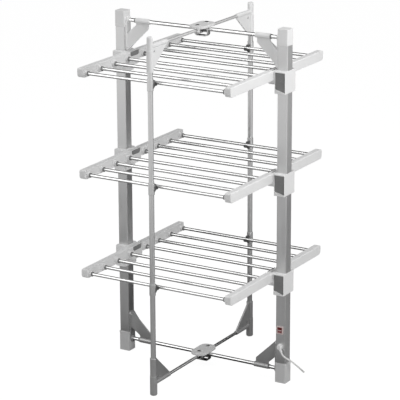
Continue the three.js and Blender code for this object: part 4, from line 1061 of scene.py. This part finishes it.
class AIRER_OT_legs(Operator):
    """Adds the slim legs with their hooks, caps, feet, braces and screws."""
    bl_idname = "airer.legs"
    bl_label = "Slim legs"

    def execute(self, context):
        s = context.scene.airer_frame
        w = context.scene.airer_wing
        tube = cut(rod("z", s.leg_radius, 0.0083, HEIGHT - 0.0043, 0, s.leg_offset, segments=LEG_ROUND),
                   rod("z", s.leg_radius - LEG_WALL, 0.0063, HEIGHT - 0.0023, 0, s.leg_offset,
                       segments=LEG_ROUND))
        heights = [raised(z - w.bar_drop) for z in TIERS.values()]
        collars, hooks = [gathered(*[moved(mesh, height) for height in heights])
                          for mesh in hook_meshes(s, w)]
        foot = lathe("z", [(0, 0), (0.0085, 0), (0.0113, 0.0012), (0.0128, 0.0034), (0.0135, 0.006),
                           (0.0135, 0.0738), (0.0130, LEG_FOOT_HEIGHT), (0.0098, LEG_FOOT_HEIGHT),
                           (0.0098, 0.008), (0, 0.008)], 0, s.leg_offset)
        cap = lathe("z", [(0, HEIGHT), (0.0070, HEIGHT), (0.0092, HEIGHT - 0.0010),
                          (0.0105, HEIGHT - 0.0026), (0.011, HEIGHT - 0.005), (0.011, HEIGHT - 0.0492),
                          (0.0105, HEIGHT - LEG_CAP_HEIGHT), (0.0098, HEIGHT - LEG_CAP_HEIGHT),
                          (0.0098, HEIGHT - 0.004), (0, HEIGHT - 0.004)], 0, s.leg_offset)
        far_top, far_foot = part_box("back_leg_top")[0].z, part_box("back_leg_foot")[1].z
        top = leg_brace(s, TOP_BAR_Z, far_top, HEIGHT - LEG_CAP_HEIGHT, 0.0, 0.011)
        low = leg_brace(s, BOTTOM_BAR_Z, far_foot, LEG_FOOT_HEIGHT, 0.009, 0.0135)
        # Thin pale rings at the top of each leg's foot and of its brace sleeve paint the highlights on
        # those rims.
        rings = gathered(*[
            cut(rod("z", radius, z, z + 0.0018, 0, s.leg_offset, rim=0.0006),
                rod("z", s.leg_radius + GAP, z - 0.01, z + 0.01, 0, s.leg_offset))
            for radius, z in ((0.0138, 0.0740), (0.0128, far_foot - 0.0022))])
        ends = {
            "top": (cap, top, "white_plastic", "white_plastic", "zinc_steel"),
            # The leg feet take the darker lacquer, which partly paints the shade low down.
            "foot": (foot, low, "light_grey_plastic", "satin_lacquer_and_shade", "dark_grey_plastic"),
        }
        head = moved(screw_head(0.0040, 0.0024), Matrix.Rotation(math.pi / 2, 4, "Y"))
        for wing, direction in WINGS.items():
            flip = mirror(y=direction)
            place_piece(f"{wing}_slim_leg", moved(tube, flip), "satin_aluminium", [f"{wing}_leg"])
            place_piece(f"{wing}_collars", moved(collars, flip), "satin_aluminium")
            place_piece(f"{wing}_hooks", moved(hooks, flip), "dark_grey_plastic", look="hook_grey")
            place_piece(f"{wing}_foot_highlight_rings", moved(rings, flip), "zinc_steel")
            for end, (shell, (bodies, tools, (y, z)), slot, look, screws) in ends.items():
                solid = cut(joined(shell, *bodies), *tools)
                place_piece(f"{wing}_{end}_fitting", moved(solid, flip), slot, [f"{wing}_leg_{end}"],
                            look=look)
                heads = [moved(head, mirror(x=side) @ Matrix.Translation((0.0019, y, z)))
                         for side in (-1, 1)]
                place_piece(f"{wing}_{end}_screws", moved(gathered(*heads), flip), screws)
        return {"FINISHED"}


# Crossbars, arms and the hubs between them

LEVELS = {"top": TOP_BAR_Z, "bottom": BOTTOM_BAR_Z}
RIVET_Y = 0.033
RIVET_BORE = 0.0043
EYE_RADIUS = 0.010
HUB_RISE = 0.012
HUB_HALF = 0.005
STRAP_HALF = 0.0287
STRAP_DEPTH = 0.027
STRAP_WALL = 0.0035
STRAP_FLOOR = (-0.011, -0.008)


class AIRER_OT_crossbars(Operator):
    """Adds the crossbars and the arms."""
    bl_idname = "airer.crossbars"
    bl_label = "Crossbars and arms"

    def execute(self, context):
        s = context.scene.airer_frame
        for level, z in LEVELS.items():
            reach = span(f"{level}_crossbar").x / 2
            place_piece(f"{level}_cross_tube", rod("x", s.crossbar_radius, -reach, reach, 0, z, rim=0.0005),
                        "bright_tube", [f"{level}_crossbar"], along="x")
            for wing, direction in WINGS.items():
                low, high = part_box(f"{level}_{wing}_arm")
                end = max(abs(low.y), abs(high.y))
                tube = rod("y", s.arm_radius, RIVET_Y, end, 0, z, rim=0.0004)
                eye = rod("z", EYE_RADIUS, low.z, high.z, 0, RIVET_Y, rim=0.0012)
                bore = rod("z", RIVET_BORE, low.z - OVERRUN, high.z + OVERRUN, 0, RIVET_Y)
                solid = moved(cut(joined(tube, eye), bore), mirror(y=direction))
                # The top arms take the lit lacquer copy of the tube, so they render brighter than the same
                # tube lower down.
                place_piece(f"{level}_{wing}_arm_tube", solid, "bright_tube", [f"{level}_{wing}_arm"],
                            along="y", look="top_arm_lit_lacquer" if level == "top" else "bright_tube")
        return {"FINISHED"}


class AIRER_OT_hubs(Operator):
    """Adds the hub plates, their straps and rivets."""
    bl_idname = "airer.hubs"
    bl_label = "Hubs"

    def execute(self, context):
        s = context.scene.airer_frame
        rivet_places = (-RIVET_Y, RIVET_Y)
        for level, z in LEVELS.items():
            under = z + HUB_RISE
            outline = square(0.064, 0.112, 0.026)
            plate = slab("z", outline, under - HUB_HALF, under + HUB_HALF, rim=0.0018, steps=14)
            hollow = slab("z", square(0.058, 0.106, 0.023), under - 0.01, under, steps=14)
            rings = [cut(rod("z", 0.0112, under, under + 0.0062, 0, y, rim=0.0006),
                         rod("z", 0.0092, under - 0.001, under + 0.01, 0, y)) for y in rivet_places]
            holes = [rod("z", RIVET_BORE, under - 0.01, under + 0.01, 0, y) for y in rivet_places]
            slots = [rod("x", s.crossbar_radius + GAP, -0.05, 0.05, 0, z),
                     rod("y", s.arm_radius + GAP, -0.08, 0.08, 0, z)]
            solid = cut(plate, hollow, *holes, *slots)
            place_piece(f"{level}_hub", gathered(solid, *rings), "light_grey_plastic",
                        [f"{level}_hub_plate"])
            bottom = z - STRAP_DEPTH
            inside = STRAP_HALF - STRAP_WALL
            band = cut(
                slab("y", [(-STRAP_HALF, bottom, 0.014), (STRAP_HALF, bottom, 0.014),
                           (STRAP_HALF, under - GAP), (-STRAP_HALF, under - GAP)],
                     -0.010, 0.010, rim=0.0006, steps=12),
                slab("y", [(-inside, bottom + STRAP_WALL, 0.0105), (inside, bottom + STRAP_WALL, 0.0105),
                           (inside, under + 0.01), (-inside, under + 0.01)], -0.02, 0.02, steps=12))
            levels = [z + height for height in STRAP_FLOOR]
            floor = slab("z", square(0.026, 0.092, 0.0127), *levels, rim=0.0006)
            bridge = block((-STRAP_HALF + 0.002, STRAP_HALF - 0.002), (-0.010, 0.010), levels)
            strap = cut(joined(band, floor, bridge), rod("x", s.crossbar_radius + GAP, -0.05, 0.05, 0, z))
            place_piece(f"{level}_strap", strap, "zinc_steel", [f"{level}_hub_strap"], along="x")
            rivets = [lathe("z", [
                (0, z - 0.0143), (0.0055, z - 0.0140), (0.0075, z - 0.0124), (0.0075, z - 0.0113),
                (0.004, z - 0.0113), (0.004, under + 0.0053), (0.0075, under + 0.0053),
                (0.0075, under + 0.0064), (0.0055, under + 0.0080), (0, under + 0.0083)], 0, y)
                for y in rivet_places]
            place_piece(f"{level}_rivets", gathered(*rivets), "zinc_steel")
        return {"FINISHED"}


# Brackets, rails and bars of the three tiers

def arc(centre, radius, start, end, steps):
    return [(centre[0] + radius * math.cos(start + (end - start) * k / steps),
             centre[1] + radius * math.sin(start + (end - start) * k / steps)) for k in range(steps + 1)]


RECESS_FLOOR = 0.027
RECESS_RIM = 0.0012
# The dark inlay in each bracket's recess paints the shade in that recess.
SHADE_INLAY_GAP = 0.0004
SHADE_INLAY_THICKNESS = 0.0080
GROOVE_HEIGHTS = (-0.030, -0.018, -0.006)
GROOVE_SIZE = 0.0008
HOUSING_REACH = 0.0497
COVER_REACH = 0.050
PIN_RADIUS = 0.003
PIN_Y = 0.018
PIN_Z = 0.004
RAIL_INSET = 0.026
TONGUE_OFFSET = 0.0079
TONGUE_WIDTH = 0.008
PANEL_MARGIN = 0.016
PANEL_RIM = 0.006
STRIP_THICKNESS = 0.003
STRIP_HALF = 0.004
# Dark rings where the bars enter the bosses: partly seals, partly painted shade of the gaps there.
BAR_SHADE_RING_WALL = 0.0030
BAR_SHADE_RING_LENGTH = 0.0045


def recess_outline(s, gap):
    """Corners of the recess in the front of the right-hand bracket, drawn in by a gap."""
    half = s.bracket_width / 2 - RECESS_RIM - gap
    inboard, outboard, top = POST_X - half, POST_X + half, 0.0125 - gap
    return [(inboard, top, 0.001), (outboard, top, 0.001),
            (outboard, -0.061 + gap, 0.002), (inboard, -0.050 + gap, 0.002)]


def bracket_mesh(s):
    """Right-hand bracket, measured from its tier's height."""
    inboard = POST_X - s.bracket_width / 2
    top, bottom = BRACKET_RISE, BRACKET_RISE - s.bracket_height
    at_post = Matrix.Translation((POST_X, 0, 0))
    body = slab("z", square(s.bracket_width, s.bracket_depth, FITTING_CORNER), bottom, top, rim=0.0014)
    right = arc((PIN_Y, PIN_Z), 0.020, 0, math.asin(0.012 / 0.020), 6)
    left = [(-y, z) for y, z in reversed(right)]
    outline = [*right, *left, (-0.038, -0.036, 0.016), (0.038, -0.036, 0.016)]
    start = POST_X - HOUSING_REACH
    housing = slab("x", outline, start, inboard + 0.001, rim=0.0010, steps=10)
    slot = block((start + 0.007, start + 0.0162), (-0.1, 0.1), (-0.0046, 0.03))
    width = s.post_width + 2 * GAP
    pocket = slab("z", square(width, width, s.post_corner), bottom - OVERRUN, top + OVERRUN)
    bores = [rod("x", PIN_RADIUS + GAP, start - OVERRUN, start + 0.0253, y, PIN_Z, segments=FINE_ROUND)
             for y in (-PIN_Y, PIN_Y)]
    recess = slab("y", recess_outline(s, 0.0), -RECESS_FLOOR, -0.045)
    return cut(joined(moved(body, at_post), housing), slot, moved(pocket, at_post), recess, *bores)


def painted_shade_inlay_mesh(s):
    """Grooved dark panel on the floor of the right-hand bracket's recess; it paints the shade in the
    recess.
    """
    outline = recess_outline(s, SHADE_INLAY_GAP)
    front = -RECESS_FLOOR - SHADE_INLAY_THICKNESS
    (left, *_), (right, *_), *_ = outline
    panel = slab("y", outline, -RECESS_FLOOR + 0.0005, front, rim=0.0005)
    grooves = [block((left - 0.01, right + 0.01), (front - 0.01, front + GROOVE_SIZE),
                     (height, height + GROOVE_SIZE)) for height in GROOVE_HEIGHTS]
    return cut(panel, *grooves)


def cover_mesh():
    """Dark cover plate with both hinge pins of the right-hand bracket."""
    start = POST_X - COVER_REACH
    plate = slab("x", [(-0.027, 0, 0.008), (0.027, 0, 0.008), (0.027, 0.017, 0.001),
                       (-0.027, 0.017, 0.001)], start - 0.0025, start, rim=0.0007)
    pins = [rod("x", PIN_RADIUS, start - 0.001, start + 0.025, y, PIN_Z, rim=0.0004, segments=FINE_ROUND)
            for y in (-PIN_Y, PIN_Y)]
    return joined(plate, *pins)


def bar_places(w):
    """Distances of a wing's bars from the middle."""
    return [w.first_bar + k * w.bar_pitch for k in range(BARS_PER_WING)]


def rail_mesh(w):
    """Right-hand rail of a back wing, measured from its tier's height."""
    outer = POST_X - RAIL_INSET
    inner = outer - w.rail_width
    half = w.rail_height / 2
    body = slab("x", [(w.rail_start, -half, 0.007), (w.rail_tip, -half, 0.014), (w.rail_tip, half, 0.007),
                      (w.rail_start, half, 0.005)], inner, outer, rim=0.0012, steps=10)
    wedge = slab("y", [(outer - 0.0032, half + 0.0002), (outer + OVERRUN, half + 0.0002),
                       (outer + OVERRUN, half - 0.0052)], 0, w.rail_tip + OVERRUN)
    bars = bar_places(w)
    bosses = [lathe("x", [
        (0, inner + 0.002), (0.0112, inner + 0.002), (0.0112, inner - 0.0012),
        (w.boss_radius, inner - 0.0022), (w.boss_radius, inner - w.boss_length + 0.001),
        (w.boss_radius - 0.001, inner - w.boss_length), (0, inner - w.boss_length)], y, -w.bar_drop)
        for y in bars]
    sockets = [rod("x", w.bar_radius + GAP, inner - 0.02, inner + 0.016, y, -w.bar_drop) for y in bars]
    panels = [block((inner - OVERRUN, inner + 0.0015), (y - w.bar_pitch + PANEL_MARGIN, y - PANEL_MARGIN),
                    (-half + PANEL_RIM, half - PANEL_RIM)) for y in bars[1:]]
    tongue_start = inner + TONGUE_OFFSET
    tongue = slab("x", [*arc((PIN_Y, PIN_Z), 0.008, math.pi / 2, 3 * math.pi / 2, 12),
                        (w.rail_start + 0.008, -0.004), (w.rail_start + 0.008, 0.012)],
                  tongue_start, tongue_start + TONGUE_WIDTH)
    bore = rod("x", 0.0036, tongue_start - OVERRUN, tongue_start + 0.010, PIN_Y, PIN_Z, segments=FINE_ROUND)
    channel = block((inner + 0.0124, inner + 0.0163), (bars[0], bars[-1]), (-0.0073, 0.0013))
    return cut(joined(body, tongue, *bosses), wedge, bore, channel, *sockets, *panels)


class AIRER_OT_brackets(Operator):
    """Adds the brackets with their hinge covers and pins."""
    bl_idname = "airer.brackets"
    bl_label = "Brackets"

    def execute(self, context):
        bracket = bracket_mesh(context.scene.airer_frame)
        cover = cover_mesh()
        painted_shade_inlay = painted_shade_inlay_mesh(context.scene.airer_frame)
        for tier, z in TIERS.items():
            for name, side in SIDES.items():
                place = raised(z) @ mirror(x=side, y=side)
                place_piece(f"{tier}_{name}_clamp", moved(bracket, place), "white_plastic",
                            [f"{tier}_{name}_bracket"])
                # Dark inlay that paints the shade in the bracket's front recess.
                place_piece(f"{tier}_{name}_inlay", moved(painted_shade_inlay, place), "dark_grey_plastic")
                place_piece(f"{tier}_{name}_hinge_cover", moved(cover, place), "dark_grey_plastic",
                            [f"{tier}_{name}_hinge_pins"])
        return {"FINISHED"}


class AIRER_OT_rails(Operator):
    """Adds the side rails of the six wings."""
    bl_idname = "airer.rails"
    bl_label = "Side rails"

    def execute(self, context):
        rail = rail_mesh(context.scene.airer_wing)
        for tier, z in TIERS.items():
            for wing, direction in WINGS.items():
                for name, side in SIDES.items():
                    place = raised(z) @ mirror(x=side, y=direction)
                    place_piece(f"{tier}_{wing}_{name}_side", moved(rail, place), "white_plastic",
                                [f"{tier}_{wing}_{name}_rail"], f"{tier}_{wing}_wing")
        return {"FINISHED"}


class AIRER_OT_bars(Operator):
    """Adds the heated bars of the six wings."""
    bl_idname = "airer.bars"
    bl_label = "Heated bars"

    def execute(self, context):
        w = context.scene.airer_wing
        reach = span("low_front_bars").x / 2
        boss_end = POST_X - RAIL_INSET - w.rail_width - w.boss_length
        for tier, z in TIERS.items():
            height = z - w.bar_drop
            for wing, direction in WINGS.items():
                places = [direction * y for y in bar_places(w)]
                tubes = [rod("x", w.bar_radius, -reach, reach, y, height, rim=0.0004) for y in places]
                strip = block((reach - STRIP_THICKNESS, reach), sorted((places[0], places[-1])),
                              (height - STRIP_HALF, height + STRIP_HALF))
                place_piece(f"{tier}_{wing}_heated_bars", joined(*tubes, strip), "bright_tube",
                            [f"{tier}_{wing}_bars"], f"{tier}_{wing}_wing", along="x")
                # These dark rings are partly seals and partly painted shade at the bar ends.
                shade_rings = []
                for side in (-1, 1):
                    start = side * boss_end
                    for y in places:
                        shade_ring = rod("x", w.bar_radius + BAR_SHADE_RING_WALL, start, start - side * BAR_SHADE_RING_LENGTH,
                                   y, height, rim=0.0008)
                        hole = rod("x", w.bar_radius + GAP / 3, start - 0.005, start + 0.005, y, height)
                        shade_rings.append(cut(shade_ring, hole))
                place_piece(f"{tier}_{wing}_bar_shade_rings", gathered(*shade_rings), "dark_grey_plastic",
                            body=f"{tier}_{wing}_wing")
        return {"FINISHED"}


# Switch on the right post

SWITCH_X = POST_X - 0.002
SWITCH_PROUD = 0.0025
ROCKER_TILT = math.radians(9)


class AIRER_OT_switch(Operator):
    """Adds the switch frame and its rocker."""
    bl_idname = "airer.switch"
    bl_label = "Switch"

    def execute(self, context):
        face = -context.scene.airer_frame.post_width / 2 - GAP
        front = face - SWITCH_PROUD
        rim = slab("y", square(0.028, 0.031, 0.004), front, face, rim=0.0009)
        body = block((-0.0105, 0.0105), (face - 0.001, face + 0.020), (-0.012, 0.012))
        well = slab("y", square(0.019, 0.022, 0.001), front - OVERRUN, front + 0.011)
        solid = moved(cut(joined(rim, body), well), Matrix.Translation((SWITCH_X, 0, SWITCH_Z)))
        place_piece("switch_frame", solid, "bezel_plastic", ["switch_bezel"])
        profile = [(-0.0068, 0.0088), (-0.0026, 0.0016), (-0.0026, -0.0016), (-0.0068, -0.0088),
                   (0.0004, -0.0086), (0.0048, -0.0030), (0.0048, 0.0030), (0.0004, 0.0086)]
        paddle = slab("x", profile, -0.0085, 0.0085, rim=0.0006)
        axle = rod("x", 0.001, -0.0092, 0.0092, 0, 0, segments=FINE_ROUND)
        # A pale band across the rocker's face paints its highlight.
        band = block((-0.0076, 0.0076), (-0.0029, -0.0020), (-0.0013, 0.0013))
        pivot = Matrix.Translation((SWITCH_X, front + 0.003, SWITCH_Z))
        place = pivot @ Matrix.Rotation(ROCKER_TILT, 4, "X")
        place_piece("rocker_paddle", moved(joined(paddle, axle), place), "red_plastic", ["switch_rocker"],
                    "rocker")
        place_piece("rocker_highlight_band", moved(band, place), "bezel_plastic", body="rocker")
        return {"FINISHED"}


class AIRER_PT_panel(Panel):
    """Lists the pieces of the airer."""
    bl_idname = "AIRER_PT_panel"
    bl_label = "Heated clothes airer"
    bl_space_type = "VIEW_3D"
    bl_region_type = "UI"
    bl_category = "Airer"

    def draw(self, context):
        for operator in OPERATORS:
            self.layout.operator(operator.bl_idname)
        for group in GROUPS:
            settings = getattr(context.scene, group)
            box = self.layout.box()
            for name in settings.bl_rna.properties.keys():
                if name not in ("rna_type", "name"):
                    box.prop(settings, name)


OPERATORS = (
    AIRER_OT_stage, AIRER_OT_cord, AIRER_OT_posts, AIRER_OT_post_ends, AIRER_OT_legs,
    AIRER_OT_crossbars, AIRER_OT_hubs, AIRER_OT_brackets, AIRER_OT_rails, AIRER_OT_bars,
    AIRER_OT_switch,
)
GROUPS = {
    "airer_frame": AirerFrameSizes,
    "airer_brace": AirerBraceSizes,
    "airer_wing": AirerWingSizes,
    "airer_colours": AirerColours,
}


def register():
    for group in (*GROUPS.values(), *OPERATORS, AIRER_PT_panel):
        bpy.utils.register_class(group)
    for name, group in GROUPS.items():
        setattr(bpy.types.Scene, name, PointerProperty(type=group))


def unregister():
    for name in GROUPS:
        delattr(bpy.types.Scene, name)
    for group in (AIRER_PT_panel, *reversed(OPERATORS), *GROUPS.values()):
        bpy.utils.unregister_class(group)


def main():
    register()
    for operator in OPERATORS:
        family, name = operator.bl_idname.split(".")
        getattr(getattr(bpy.ops, family), name)()


if __name__ == "__main__":
    main()
